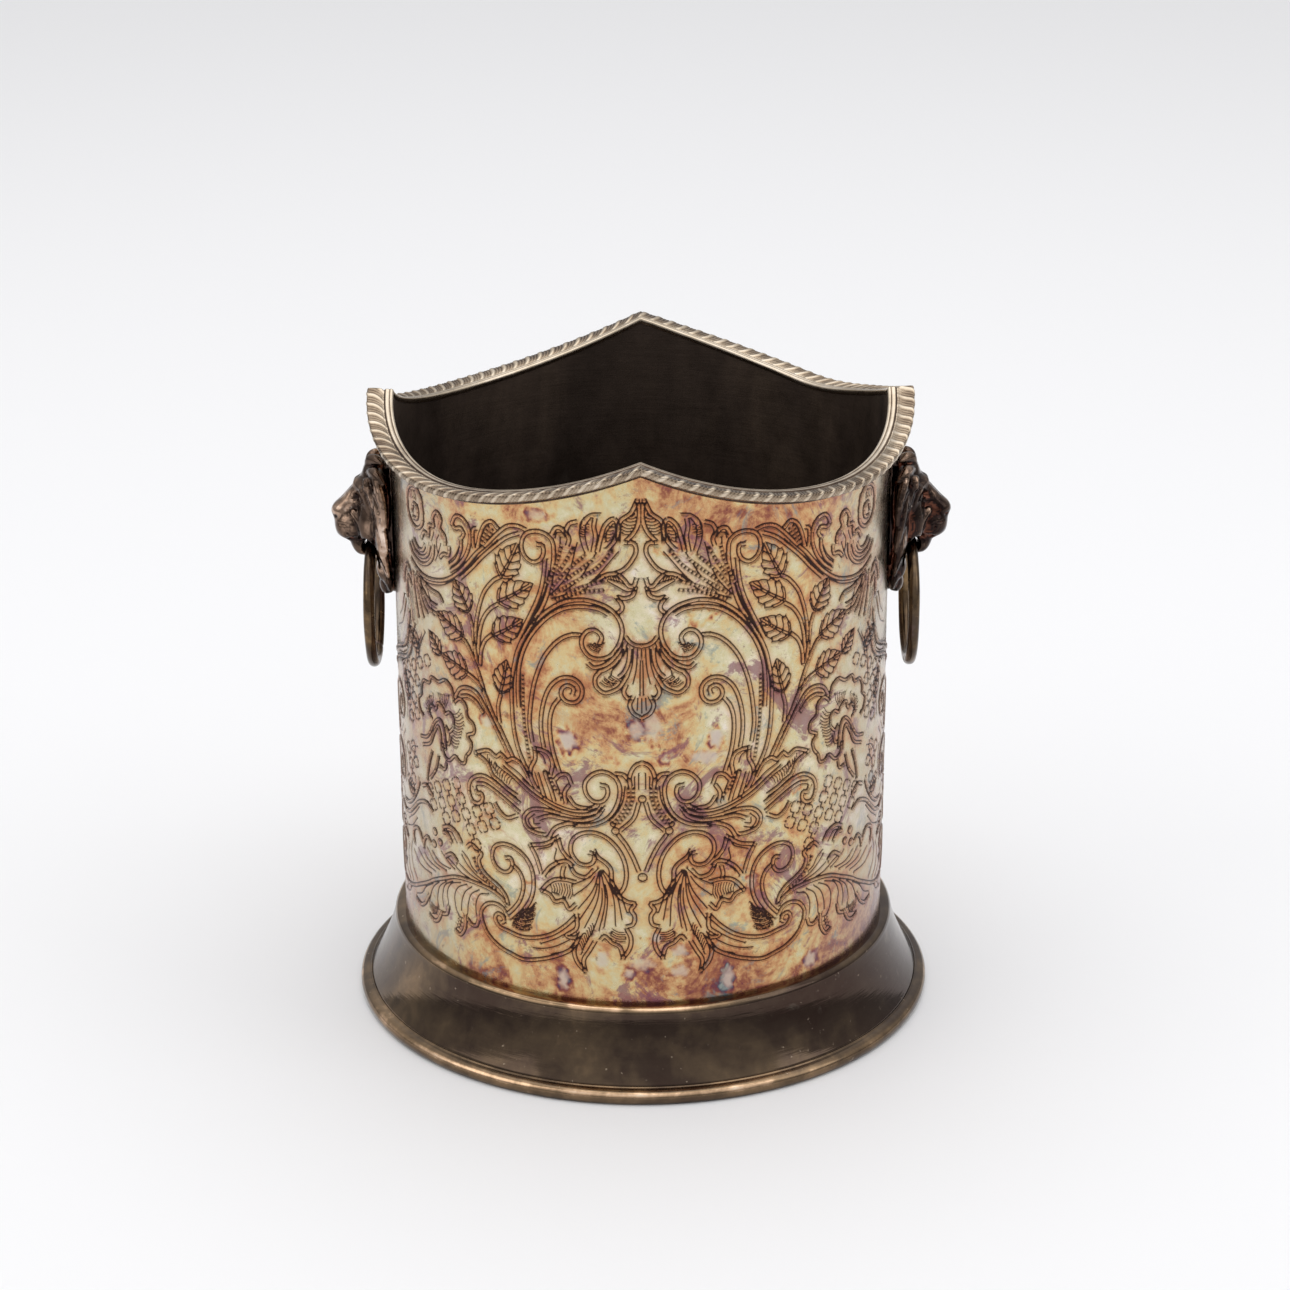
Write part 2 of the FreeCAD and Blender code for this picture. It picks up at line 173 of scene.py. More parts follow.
# bands: a raised strip between two engraved lines
BANDS = [
    # pointed leaves at the top of the front panel
    [(1, 182), (0.4, 179.5), (0.7, 175.5), (2, 172.5), (4.4, 169.8)],
    [(1, 182), (2.8, 178.3), (5.6, 176), (6.2, 173), (6.4, 170)],
    [(9.5, 167.5), (7.4, 170), (6.4, 173), (6.8, 175.8), (8.2, 176.3), (10.2, 174.2),
     (11.2, 171), (12.2, 167)],
    [(13.5, 166.7), (12.8, 171), (13.2, 174), (12.8, 176.6)],
    [(18.2, 175), (20.2, 174.2), (21.2, 172), (20.4, 169.8), (21, 167.6)],
    [(21, 170.6), (22.6, 172.6), (24.4, 172.6), (25.6, 170.6)],
    # brackets beside the centre line
    [(4.4, 169.6), (2, 169.4), (1.4, 167), (2.8, 164), (5, 161.6), (7.6, 160.4)],
    [(7.3, 153.6), (5.8, 151.8), (5.4, 150), (7, 148.2)],
    [(1.3, 159), (2, 157), (3.4, 156.8), (4.8, 158.6), (6.6, 160.1), (9, 160.2), (11.5, 159),
     (13.6, 157.6)],
    [(1.6, 156.4), (2.4, 154), (4.6, 153.1), (7, 153.6)],
    # upper volute and its stem
    [(30, 167.2), (28.4, 167), (28.2, 164.6), (29.6, 162.5), (31.9, 161.9), (34.2, 163.6),
     (35, 166.7), (33.6, 169.8), (30.4, 171), (27.3, 170.5), (25.4, 168.6), (25, 165.5),
     (25.4, 161), (26.5, 155.2), (28.5, 149.4), (31.9, 143.6), (35, 138.6)],
    [(27.7, 163.2), (28.1, 159), (28.9, 154.8), (30.5, 150.2), (33.5, 144), (36.5, 138)],
    # large C-scroll round the front reserve
    [(12, 139), (11.3, 141.3), (13.1, 143.2), (15.4, 142.8), (17, 140.5), (16.9, 137.8),
     (15, 135.3), (12.3, 134.6), (9.2, 135.5), (6.9, 138.2), (5.6, 141.7), (5.6, 144.8),
     (6.9, 147.8), (9.2, 150), (12.3, 151.4), (16.5, 152.1), (21.2, 151.3), (25, 149.4),
     (28.8, 146.3), (32, 142.8), (35, 138.2), (37, 134), (38.2, 129.4), (39, 124.4),
     (39.2, 118), (38.8, 110.7), (37.7, 105), (35.8, 100.3), (33.2, 95.6)],
    [(9.4, 148.2), (12, 149.6), (16, 150.1), (20, 149.7), (23.5, 148.4), (27, 146),
     (29.8, 143.2), (32.8, 139.2), (35, 134.8), (36.4, 130), (37, 124), (36.9, 117)],
    [(17.3, 141.5), (19.8, 141.4), (22.8, 140.1), (25.8, 137.4), (28.5, 133.6), (30.5, 129),
     (32, 124), (33, 118), (33.4, 112.6), (32.7, 107)],
    # small scroll inside it
    [(19.9, 123.4), (19.7, 125), (21.4, 125.8), (23.1, 124.6), (23.3, 122.4), (21.6, 120.8),
     (19, 120.9), (17.3, 123), (17.4, 126), (19.8, 128.1), (23.4, 127.8), (26.6, 125),
     (28.6, 120.6), (29.7, 115), (29.7, 110), (29, 105.8)],
    [(24.2, 121.3), (25.9, 118.8), (26.9, 115.2), (27, 110.6), (26.2, 105), (24.4, 99)],
    # scallop shell under the top scrolls
    [(0, 138.8), (1.8, 139.1), (3.4, 140.1), (4.4, 141.5)],
    [(4.6, 139.6), (5.4, 136.7), (7.7, 133.6), (10.2, 131.6), (12, 130.8)],
    [(6.2, 137.6), (8.2, 134.6), (11, 132.6), (13.6, 131.9), (15.2, 133)],
    [(4.2, 129.6), (6.2, 126.4), (8.5, 124.9), (10.8, 124.4), (13, 126.2), (13.2, 129),
     (11.4, 131.2)],
    [(4.4, 127), (5.1, 124.8), (4, 122.9), (2.8, 123.2)],
    [(2.4, 123.4), (3.4, 120.9), (2.4, 118.4), (0, 116.8)],
    [(3.3, 138), (3.7, 134), (4.9, 131), (6.4, 129.4)],
    # band that sweeps from the upper volute towards the mask
    [(33.5, 171), (36, 171.7), (39.2, 171.3), (42, 169.4), (46.5, 165), (50.7, 161.2),
     (54.8, 156.8), (59, 153), (64, 150), (69, 148.5), (74.4, 147.9), (79, 148.6), (84, 150.8)],
    [(36, 169.6), (40, 167.8), (44, 164.6), (48.5, 160.6), (53, 156), (57.5, 152)],
    [(42.8, 170), (44.9, 171.6), (47.4, 170.4), (49.1, 167.3), (50.2, 163.4)],
    [(50.4, 168.6), (51.8, 168), (52, 165), (51.6, 162.6)],
    [(56.6, 164.4), (55.6, 166), (57, 167.4), (59, 166.8), (60.4, 168), (58.6, 170.6),
     (55.6, 170.2), (53.4, 167.6), (53.2, 164.2), (54.8, 159.8), (57.8, 156.2), (61.8, 153.2)],
    [(56.8, 163.6), (57, 160.7), (59, 157.2), (62, 154.8)],
    # cloud-edged rosette next to the mask
    [(63.8, 160.6), (64, 163.2), (66.4, 165.2), (65.6, 168), (67.8, 169.6), (69.8, 167.4),
     (69.4, 164.9), (71.8, 164.6), (72.2, 161.4), (74.6, 161.8), (76.6, 159.4)],
    [(62, 160.6), (62.4, 158), (64.8, 157.6), (66.6, 156)],
    [(69.6, 159.4), (70.2, 155.6), (73, 152.6), (77.4, 151.4), (82, 152.6), (85, 155.4)],
    [(71.6, 158.6), (73, 155.4), (76.4, 153.6), (80.6, 154.2), (83.4, 156.6)],
    [(74.6, 157.6), (76, 155.8), (79, 155.6), (81.6, 157.4)],
    [(75.4, 167), (76.4, 171.6), (80, 174), (84.4, 172.6), (86, 168), (84, 163.4), (79.6, 161.6),
     (76, 163.6), (75.4, 167)],
    [(82.6, 166), (81, 168.6), (78.4, 167.6), (78.8, 164.8), (81.4, 164.2)],
    # feathers under it
    [(65.8, 142.3), (67.8, 144.4), (71.6, 144.8), (75.7, 145.9), (80, 148)],
    [(69, 140.4), (73.2, 141.2), (76.5, 143.4), (79.4, 146.6)],
    [(69, 138), (73.2, 138.6), (76, 141.2), (78.6, 145.4)],
    [(74, 136.4), (76.4, 138.6), (78.2, 142), (80, 146.4)],
    [(77, 134.6), (78.6, 138.6), (80, 142.4), (81.4, 146.8)],
    [(80.2, 134), (81.6, 138.6), (82.4, 143), (83, 147.6)],
    [(84.2, 145.6), (87.2, 148), (89.8, 146.4), (91, 142)],
    [(84.4, 142.4), (87, 144.6), (88.4, 142), (88, 138)],
    # stems of the serrated leaves
    [(42.3, 155.7), (45, 153.9), (48.3, 149.8), (50.4, 144.4), (51.6, 139), (52, 133)],
    [(43.3, 147.3), (46.2, 145.2), (48.7, 141.8), (50.2, 137.4), (50.9, 132)],
    [(45.4, 137.8), (48.2, 135.2), (49.8, 131.6), (50.3, 127)],
    [(54.4, 141.9), (53.1, 138.6), (52.7, 134.6), (51.6, 128)],
    [(58.2, 134.4), (55.7, 132.7), (53.2, 129.2), (51.1, 124.6), (49, 119.4)],
    [(55.2, 123.2), (51.6, 121.6), (49, 118.6), (46.4, 113.6), (43, 108), (39, 100.6)],
    [(60.8, 115), (59, 117.5), (55.7, 118.8), (52, 118), (48.8, 114.4), (45.2, 109), (41, 102)],
    [(58.4, 115.4), (55.4, 116.2), (52.2, 115.2), (49.4, 112.2)],
    [(43, 119.6), (44, 115.6), (43.6, 111)],
    # lower C-scroll with its fronds, beside the bottom palmette
    [(12, 95.8), (10.3, 95.4), (10, 93), (11.5, 90.8), (14.2, 90.6), (16.3, 92.8), (16.6, 96.1),
     (14.3, 99), (11.2, 100), (8.1, 98.6), (6.5, 95.4), (6.9, 91), (8.9, 86.8), (12, 84.2),
     (15.8, 82.9), (20.4, 82.5)],
    [(4, 97.6), (5.4, 99.3), (7.8, 99.6)],
    [(4.4, 95.4), (5, 91), (6.8, 87.2), (9.2, 84.4)],
    [(11.5, 89.6), (13.6, 87.2), (18, 86), (23.5, 86.5), (28.8, 88.4), (33.6, 90.9),
     (38, 94), (43, 97)],
    [(11.4, 88.6), (13.4, 85.8), (17.3, 84.3), (22.7, 84.2), (27.7, 84.4), (31, 83)],
    [(13.6, 89), (16, 88.2), (19.6, 88.8), (21.6, 91.4)],
    [(24.2, 85.8), (29.6, 86.2), (33.5, 85.4), (35.9, 82.6), (35, 79.6), (32, 78.4), (28.8, 78.2)],
    [(19.4, 83.2), (22.8, 82.5), (25.9, 80.8), (27.8, 77.8)],
    # acanthus leaf that rises from it
    [(20.8, 95.6), (21.8, 98), (24, 97.9), (25.8, 96)],
    [(21.4, 95), (22.8, 92.4), (22.4, 89.2)],
    [(26, 89.4), (27, 92.8), (28.2, 96), (28.9, 98.2)],
    [(29, 90), (30.2, 93.6), (31.4, 97.4)],
    [(27, 97.6), (26.4, 101), (27.4, 103.8), (29.6, 104.8), (32, 105)],
    [(32, 105), (31.8, 101.8), (33.2, 98.8), (33.3, 95.8), (31.6, 92.4)],
    [(34.2, 95.7), (36.5, 99.2), (39.2, 100.4), (41.3, 99.4), (43.4, 101), (45.2, 99.8),
     (47.8, 101), (50.4, 100.3), (53, 99)],
    [(53, 99), (48.8, 97.2), (46.6, 93.6), (44, 92.2), (41.5, 90.6), (38, 89)],
    # scroll between the acanthus and the trellis
    [(53.7, 88), (52.8, 86.3), (51, 86.6), (50.7, 84.7), (52.4, 83.1), (54.9, 83.4),
     (56.2, 86.3), (55.3, 89.7), (52.2, 92), (49, 92.4), (45.3, 91.1), (41, 88.8), (37, 86.6)],
    [(52.6, 89.4), (49.4, 89.9), (45.3, 88.5), (41, 86.2), (37.5, 84)],
    [(38.5, 82.5), (41.5, 81.2), (44, 82.4), (46, 84.8)],
    # bottom palmette and the lozenge under it
    [(0, 103.2), (2.2, 101.9), (3.6, 98.8), (3.4, 95.6)],
    [(1, 90.4), (2.6, 85.6), (6.4, 81.8)],
    [(6.9, 80.3), (4.6, 77), (2.7, 73.2), (1.1, 69)],
    # lower volute over the hanging acanthus
    [(15.6, 74.3), (14.2, 73.8), (14.4, 71.4), (16.4, 70.2), (19, 70.8), (21.1, 74),
     (20.6, 77.6), (18, 80), (14.2, 80.7), (10.4, 79.3), (7.2, 76), (5.3, 72), (4.7, 67.6),
     (5.4, 63.8), (7, 61.4)],
    [(14.2, 75), (13, 73), (10.4, 71), (9.2, 69), (9, 65.7), (7.7, 61.8), (4.8, 59.3),
     (2.4, 58.5), (3.4, 56.5), (2.4, 54.5), (2.8, 52), (5, 51)],
    [(4.8, 50.6), (3.5, 47.4), (3.9, 44), (5.8, 41)],
    [(5.8, 41), (6.8, 44.4), (9.2, 45.8), (11.2, 47.7), (12.6, 46.2)],
    [(14.2, 45.8), (15.9, 42.6), (17.6, 39.5), (17.2, 35.8)],
    [(17.2, 35.8), (19.5, 38.4), (20.5, 41.6), (19.7, 45), (18.2, 48.4)],
    [(19.6, 54), (19.7, 49.6), (22.8, 46.8), (20.4, 46.4), (18.6, 47.8)],
    [(14.3, 68.8), (16.6, 66.4), (19.8, 67), (21.4, 69.6)],
    [(19.8, 64.4), (22.8, 64.8), (25.8, 64.5), (28.2, 63), (30.6, 60.1)],
    [(30.6, 60.1), (28, 59.4), (26.2, 57.3), (23.6, 58), (21.9, 55.4), (20, 57.2)],
    [(20.6, 69.4), (22.4, 70.8), (25.2, 69.9), (27.8, 68), (29.7, 65.3)],
    [(23.4, 68.8), (23.9, 66.6), (23.6, 64.8)],
    # angular ribbon
    [(24.6, 78.4), (28.8, 75.5), (34, 74.1)],
    [(34, 74.1), (32, 70.4), (30.4, 65.4)],
    [(25, 78), (23.9, 74.2), (21.6, 71.4)],
    # volute that carries the long frond
    [(42.6, 68.1), (40.8, 68.4), (40.2, 66.4), (41.3, 64.2), (43.6, 63.4), (46.2, 64.6),
     (47.5, 67.4), (46.5, 70.7), (43.5, 72.4), (39.6, 72.2), (35.8, 69.9), (33.5, 66),
     (33.1, 61), (34.2, 56.5), (36.9, 52.2), (40.6, 48.2)],
    [(40, 66.5), (37.6, 64.4), (36.5, 60.7), (37.6, 56), (39.8, 52.6), (42, 50.2)],
    [(20, 53.4), (22.8, 50.2), (27, 46.8), (32, 44.6), (37.3, 43.7), (42.3, 44.5), (45.4, 45.2),
     (46.9, 47.4), (45.8, 49.2), (44, 48.8), (43.6, 47.2), (44.6, 46.6)],
    [(42.4, 49.4), (44.1, 51.6), (47, 52.2), (50.2, 51), (52.3, 48), (51.8, 44.6), (49.4, 41),
     (45.2, 38.4), (41, 37.2), (37, 36.4), (32, 37.4), (26.6, 39.4), (22, 42), (20.2, 44.4)],
    # stem of the long frond, up to the side centre line
    [(42.3, 52.6), (44.4, 54.8), (48.2, 56.3), (53.2, 56.8), (59, 56.6), (64, 55.6), (69, 53.4),
     (74.4, 50.9), (79.4, 48), (85, 45.2), (91, 42.4), (98, 40.4), (105, 41.2), (109.6, 45)],
    [(42, 53.2), (42.9, 55.8), (45.3, 58.2), (49.4, 60.3), (51.9, 62.4), (52.8, 64.8),
     (51.6, 66.8), (53, 67.8), (55.7, 69), (57.8, 67.4)],
    [(60.2, 68.2), (62.3, 70.6), (65.7, 71.5), (69, 70.2)],
    [(64.8, 66.8), (66.6, 68.8), (69, 68.6)],
    [(62.3, 61.2), (64.8, 62.8), (67.8, 61.2)],
    [(76.6, 62.4), (78.6, 63.5), (80.8, 61.8), (81.4, 59)],
    [(81.9, 60.4), (84.8, 63.4), (88.4, 62.7), (90, 60.4), (89, 57.4)],
    [(59.2, 44.8), (59.4, 40.6), (61.6, 37.4), (64.2, 38)],
    [(71, 41.4), (73.2, 38), (75.8, 36.8), (78.8, 37.6)],
    [(79, 43.8), (81.6, 40.4), (85, 38.4), (89, 38.8)],
    [(53.6, 44.8), (54.4, 42.8), (56.6, 42.4), (58.2, 43.8)],
    [(67.2, 44.8), (68.2, 42), (70.6, 41)],
    # arcs under the trellis, towards the side
    [(74.4, 73), (78.6, 74.8), (84, 73), (88.2, 69.8), (93.4, 66.2), (99, 64.6)],
    [(83.4, 80.2), (85, 76.8), (89, 72.2), (94, 69), (100, 68)],
    [(74.4, 78.4), (77.8, 80.6), (80.8, 79.6)],
    # side panel under the lion mask: shield reserve, scroll and palmette
    [(83.4, 131), (85.7, 124.8), (88.6, 119.8), (93.4, 116.8), (101, 114.4), (109, 111),
     (QUARTER, 105.6)],
    [(87, 133), (88.6, 127), (91.4, 122), (96, 119.4), (103, 117), (110, 113.8),
     (QUARTER, 109.4)],
    [(101, 98), (99.4, 99.6), (101, 101.4), (103.6, 100.2), (103.8, 97), (101, 95),
     (97.4, 96.4), (96.2, 100.4), (98.4, 104.6), (103.6, 105.8), (109.4, 102.8), (113, 97),
     (114, 90)],
    [(103, 77), (101.4, 78.8), (103, 80.6), (105.6, 79.4), (105.4, 76), (102.4, 74.2),
     (99, 76), (98.2, 80.4), (101, 84.8), (106.4, 86), (111.8, 82.6), (114.6, 76),
     (115, 68)],
    [(109.6, 45), (111, 49.6), (109, 54), (104.6, 55.6), (101.4, 53.2), (101.8, 49.8),
     (104.6, 49), (105.6, 51)],
    [(98, 64.6), (104, 66.2), (108.4, 62.4), (110, 56.4)],
    [(QUARTER, 72), (114.6, 66), (115.4, 60), (QUARTER, 56)],
    [(QUARTER, 50), (115, 46), (115.6, 41), (QUARTER, 36.6)],
    [(QUARTER, 96), (115.4, 91), (115.8, 86), (QUARTER, 82)],
]

# single engraved lines
LINES = [
    [(7.3, 175), (7.2, 172.6), (8.4, 169.8)], [(7.8, 175), (9.6, 172.4), (9.8, 169.4)],
    [(11.5, 178), (14.2, 177.6), (16.5, 175.6), (17.4, 173.4)],
    [(14, 176.4), (15.6, 173.8), (15.6, 170), (14.8, 166.8)],
    [(16.6, 175), (17.4, 172), (16.8, 168.6), (16, 166.4)],
    [(1.8, 155.4), (4.2, 155.2), (6.8, 156.6), (9.4, 158)],
    [(22.6, 171.6), (24, 171.2), (24.6, 169.4)], [(23, 169.8), (23.2, 166.4)],
    [(26.6, 160), (27.6, 154.6), (29.6, 149.6), (33, 143.6)],
    [(0, 138), (0.4, 132), (0.5, 124)], [(1.1, 138.2), (1.5, 132), (2.4, 127.6)],
    [(2.2, 138.4), (2.6, 133.4), (3.6, 129.6)], [(5, 138), (6, 134.4), (8.6, 131)],
    [(0, 123), (0, 118.4)], [(1.1, 123), (1.3, 119.2)],
    [(43, 166.6), (47, 162.8), (51.4, 158.8), (55.6, 154.6)],
    [(60, 151), (65, 148.2), (70, 146.8), (75, 146.4), (79, 147.2)],
    [(57.6, 161.8), (59.6, 158.4), (62.8, 155.6)],
    [(66.8, 163), (68.2, 160.6), (67.6, 157)], [(69.4, 163), (70.8, 160)],
    [(66, 160.4), (67.2, 157.6), (69, 154.4)],
    [(1, 99.8), (1, 94.6)], [(2.2, 98.6), (2.1, 94.8)],
    [(14.6, 88.6), (20, 87.4), (26, 88.8), (31, 91.4), (36, 94.6)],
    [(24, 90), (24.4, 93), (25.4, 95.4)], [(28.6, 100.8), (29.4, 103), (31, 104)],
    [(33.6, 93.2), (37.6, 96.4), (42, 98.6)], [(36, 92), (40.4, 95), (45.6, 97.2)],
    [(30.4, 80.4), (33, 79.8), (34.4, 82), (32.6, 84)], [(30.6, 81.6), (32.6, 81.2), (32.6, 83)],
    [(26, 77.2), (27.4, 74.8), (31.6, 73.2)], [(24.6, 70), (27, 67.6), (29, 65.6)],
    [(25.6, 74), (26.2, 71), (25, 69.8)],
    [(22, 45.4), (26, 42.9), (30, 41.4), (34, 40.8)], [(23, 47.4), (26.6, 45), (31, 42.8)],
    [(20.8, 43.6), (24, 41.4), (28, 39.8)],
    [(53.8, 60.4), (55.8, 61.6), (57.4, 63.8), (59.8, 65.4)],
    [(48.4, 58.2), (52, 60.2), (54, 63), (54.4, 65.4)],
    [(50, 58), (54, 59.4), (57.4, 61.4), (60, 63.8)], [(52, 57.8), (57, 59), (61.6, 61)],
    [(66, 57.6), (71.4, 57.8), (75.8, 60)], [(68, 56.4), (74.2, 56.8), (78.6, 59.6)],
    [(64, 58.4), (68.2, 60.4), (70.8, 62)], [(71.4, 55.2), (78, 55.8), (81.4, 57.6)],
    [(74, 53.8), (80, 54.2), (86, 56.8)], [(77, 52), (84, 52), (90, 54.6)],
    [(56, 57.4), (60.6, 58.2), (64.8, 60.2), (66.6, 60.8)],
    [(49.4, 54.6), (52.8, 53.4), (54.5, 49.8), (54.4, 46)],
    [(53.2, 54.8), (56.4, 52.4), (57.8, 48.8), (58.2, 45.4)],
    [(56, 55), (59, 52.4), (60.6, 49), (61, 45.6)],
    [(58.4, 55), (62.2, 52.8), (64, 49.6), (63.6, 45.6), (61.8, 43)],
    [(61, 54.8), (65.6, 52.8), (67.8, 49.2), (67.2, 45.6)],
    [(64.8, 54), (69, 51), (70.4, 47), (70, 43.6)],
    [(68.2, 52.6), (71.9, 49.6), (73.4, 45.4), (72.8, 42)],
    [(72.3, 50.8), (75.7, 48), (78.2, 43.6), (78.4, 40)],
    [(76, 49), (80.8, 46), (84.2, 42.6), (89, 40.4)],
    [(61.2, 42.4), (61.8, 40), (63.6, 39)], [(73.6, 42), (74.6, 39.6), (77, 38.6)],
    [(64.6, 70), (67.4, 69.8)], [(62.4, 67.6), (64, 69.4)],
    [(92, 44), (96, 46.6), (97, 51), (95, 55)], [(88, 45.8), (92, 49), (93, 54), (91, 58)],
    [(96, 43), (100, 45), (101, 48)], [(94, 40.8), (98, 37.4), (103, 36.8)],
    [(99, 39.4), (103, 36), (108, 36.6)], [(104, 41), (108, 39), (111, 40.6)],
    [(104, 84), (109, 79), (111.6, 72)], [(103, 103), (108, 99.4), (110.6, 93)],
    [(89.6, 136), (92, 131), (95.6, 127), (101, 124.6)], [(91.4, 137.4), (94, 132.6), (98, 129)],
    [(86, 112), (90, 113.4), (95, 111.2), (98.4, 107)], [(87.6, 108.6), (91.4, 109.6), (95, 106.6)],
    [(84.6, 103.6), (88.6, 105.6), (92, 102.4), (92.4, 98)], [(86.6, 99.8), (89.4, 101), (90.6, 97)],
    [(78.6, 128.6), (81.6, 124), (83.2, 119), (83.6, 112)], [(76.4, 130), (79.4, 125.6), (81, 121)],
    [(74.6, 146), (72.6, 141.6), (70.4, 137)], [(86.6, 139.4), (85, 135), (84.8, 132)],
    [(104, 118), (108, 115.6), (113, 114.4)], [(106, 121), (110, 118.6), (114, 117.6)],
    [(100, 70.4), (104, 71.4), (108, 69)], [(96.4, 86), (95.6, 80), (97.4, 74.6)],
    [(86.4, 66.6), (91, 62.6), (96.4, 60.4)], [(84.4, 71), (89, 67), (94.6, 63.6)],
    [(107.6, 92.6), (110.6, 87.4), (112.4, 82)], [(106, 62.4), (107.4, 58.6), (106.4, 55)],
    [(113, 62), (113.4, 57), (112.6, 52)], [(108, 32), (112, 34.6), (QUARTER, 33)],
    [(84, 91), (88.6, 89.4), (91.4, 85.6)], [(84.6, 87.4), (88, 85.4), (90, 82)],
    [(96, 92), (99, 88.6), (97.4, 84)], [(99.6, 92.4), (103, 89), (110, 89)],
]

# rows of beads
BEADED = [
    [(25.4, 152.7), (23, 154.6), (17, 158.6), (11.8, 162.6), (8, 167.4)],
    [(22, 157.2), (18.4, 160.2), (13.4, 164.4)],
    [(25.8, 154.8), (24.2, 157), (20.2, 161.4), (16, 165.4)],
    [(21.2, 153.8), (16.6, 156), (11, 158)],
    [(24.6, 151.5), (21.6, 152.8), (16, 154.6), (10.6, 155.4)],
    [(24.2, 159), (22, 162.4), (19.2, 167.4)],
    [(27, 156), (25.8, 158.6), (23.8, 163.4), (22.6, 168)],
    [(4, 95), (4, 91.8), (5.6, 87.8), (8.2, 84.2)],
    [(2.6, 95), (2.8, 91.4), (4.4, 87.4), (6.8, 84)],
    [(35.4, 127), (35.4, 120), (35.2, 113), (34.4, 106), (33.6, 101)],
    [(46, 170), (47.6, 167.4), (49, 163.8)], [(44.6, 169.4), (46.4, 166.8), (48.2, 164)],
    [(46.4, 57), (50, 58.8), (53.2, 61.6), (55, 64.6)],
    [(23.6, 91), (26.4, 94.6), (27.6, 98)],
]

# ribs of the plume and of the hanging acanthus: their root, their ends and how far they bow
RIBS = [
    ((28.2, 150.6), [(6.2, 167), (12.4, 166.6), (18, 169), (10.6, 160.2)], 0.10),
    ((12.4, 70), [(4.6, 55.6), (6, 53), (8, 51.4), (11.4, 50.4), (13, 49), (15.2, 47.6),
                  (17.4, 49.6), (18.6, 52.6), (19, 56), (20.4, 60), (21, 63.4)], -0.08),
]

# serrated leaves: base, tip and width
LEAVES = [
    ((42.2, 155.6), (36.2, 166.8), 8.6), ((43.4, 148), (31.6, 155.4), 8.4),
    ((45.4, 137.2), (35, 144), 8.0), ((43.2, 120), (40.7, 130.8), 7.2),
    ((54.4, 142.4), (60.4, 151.2), 9.0), ((56.8, 134.4), (69, 138.8), 8.6),
    ((55.4, 123.4), (67, 126.2), 8.8), ((67.6, 125.6), (73.8, 131.6), 6.0),
    ((90, 104), (94, 113), 6.0), ((104, 61), (96, 56), 6.0), ((112, 108), (106, 112), 4.6),
    ((110, 74), (108.6, 65.6), 6.0), ((107, 96), (105.4, 88), 5.4), ((93.6, 76), (86.6, 75), 5.0),
    ((80, 124), (88.6, 128.6), 5.6), ((106, 46), (99.6, 47.6), 4.6),
]

# hatching: two edges and the number of strokes between them
HATCHED = [
    ([(1.6, 178.6), (1.8, 174.6), (3.4, 171.6)], [(2.6, 177.6), (5.2, 175.2), (5.4, 172)], 7),
    ([(7.8, 174.6), (7.9, 172), (8.8, 169.8)], [(8.6, 174.6), (10, 172), (10, 169.2)], 5),
    ([(14.6, 174.8), (16, 170.4)], [(16.4, 174.4), (17.4, 170.8)], 6),
    ([(5.6, 129), (8.6, 126)], [(8.4, 130), (12.2, 127.4)], 7),
    ([(10.6, 139.6), (12.6, 136.4)], [(13, 139.4), (15.6, 138.6)], 6),
    ([(4.6, 157.2), (7.4, 158.2), (10, 158.6)], [(6.4, 159.4), (8.6, 159.6), (10.6, 159.4)], 6),
    ([(40.4, 92), (44.4, 93.8), (48, 98)], [(39, 94), (44, 96.6), (49, 99.8)], 11),
    ([(20.6, 62.6), (24, 63.6), (28, 62)], [(21.4, 58.6), (24, 59.4), (27.6, 60.4)], 9),
    ([(14.6, 52), (17, 48), (19, 44)], [(15, 48.4), (17.2, 44), (18.6, 40.6)], 9),
    ([(5, 49.6), (5.4, 46)], [(9, 50.6), (9.6, 47)], 5),
    ([(59.6, 111.4), (57.8, 107), (59.6, 102), (61, 98)],
     [(62, 109), (61, 106.6), (62.2, 103.4), (63.8, 98.6)], 12),
    ([(72, 112), (76, 109), (76.6, 104.4)], [(72.6, 108.6), (74.2, 107.2), (74.8, 104.6)], 9),
    ([(64, 113.8), (70, 112.6)], [(65.4, 110.4), (69.4, 110.4)], 6),
    ([(60.6, 43.8), (60.8, 40.6), (62.4, 38.6)], [(62.6, 44), (62.6, 41.4), (63.6, 39.8)], 4),
    ([(72.4, 42.4), (74, 39.2)], [(77.4, 42.6), (77.6, 39.4)], 5),
    ([(32.6, 56), (33.6, 50), (35, 46)], [(37.4, 52.6), (39.8, 49), (40.8, 46.4)], 16),
    ([(86.4, 125), (90, 120.6)], [(87.6, 126.2), (91, 121.6)], 4),
    ([(79, 170.6), (84, 170)], [(79.6, 172.6), (83.6, 172)], 4),
]

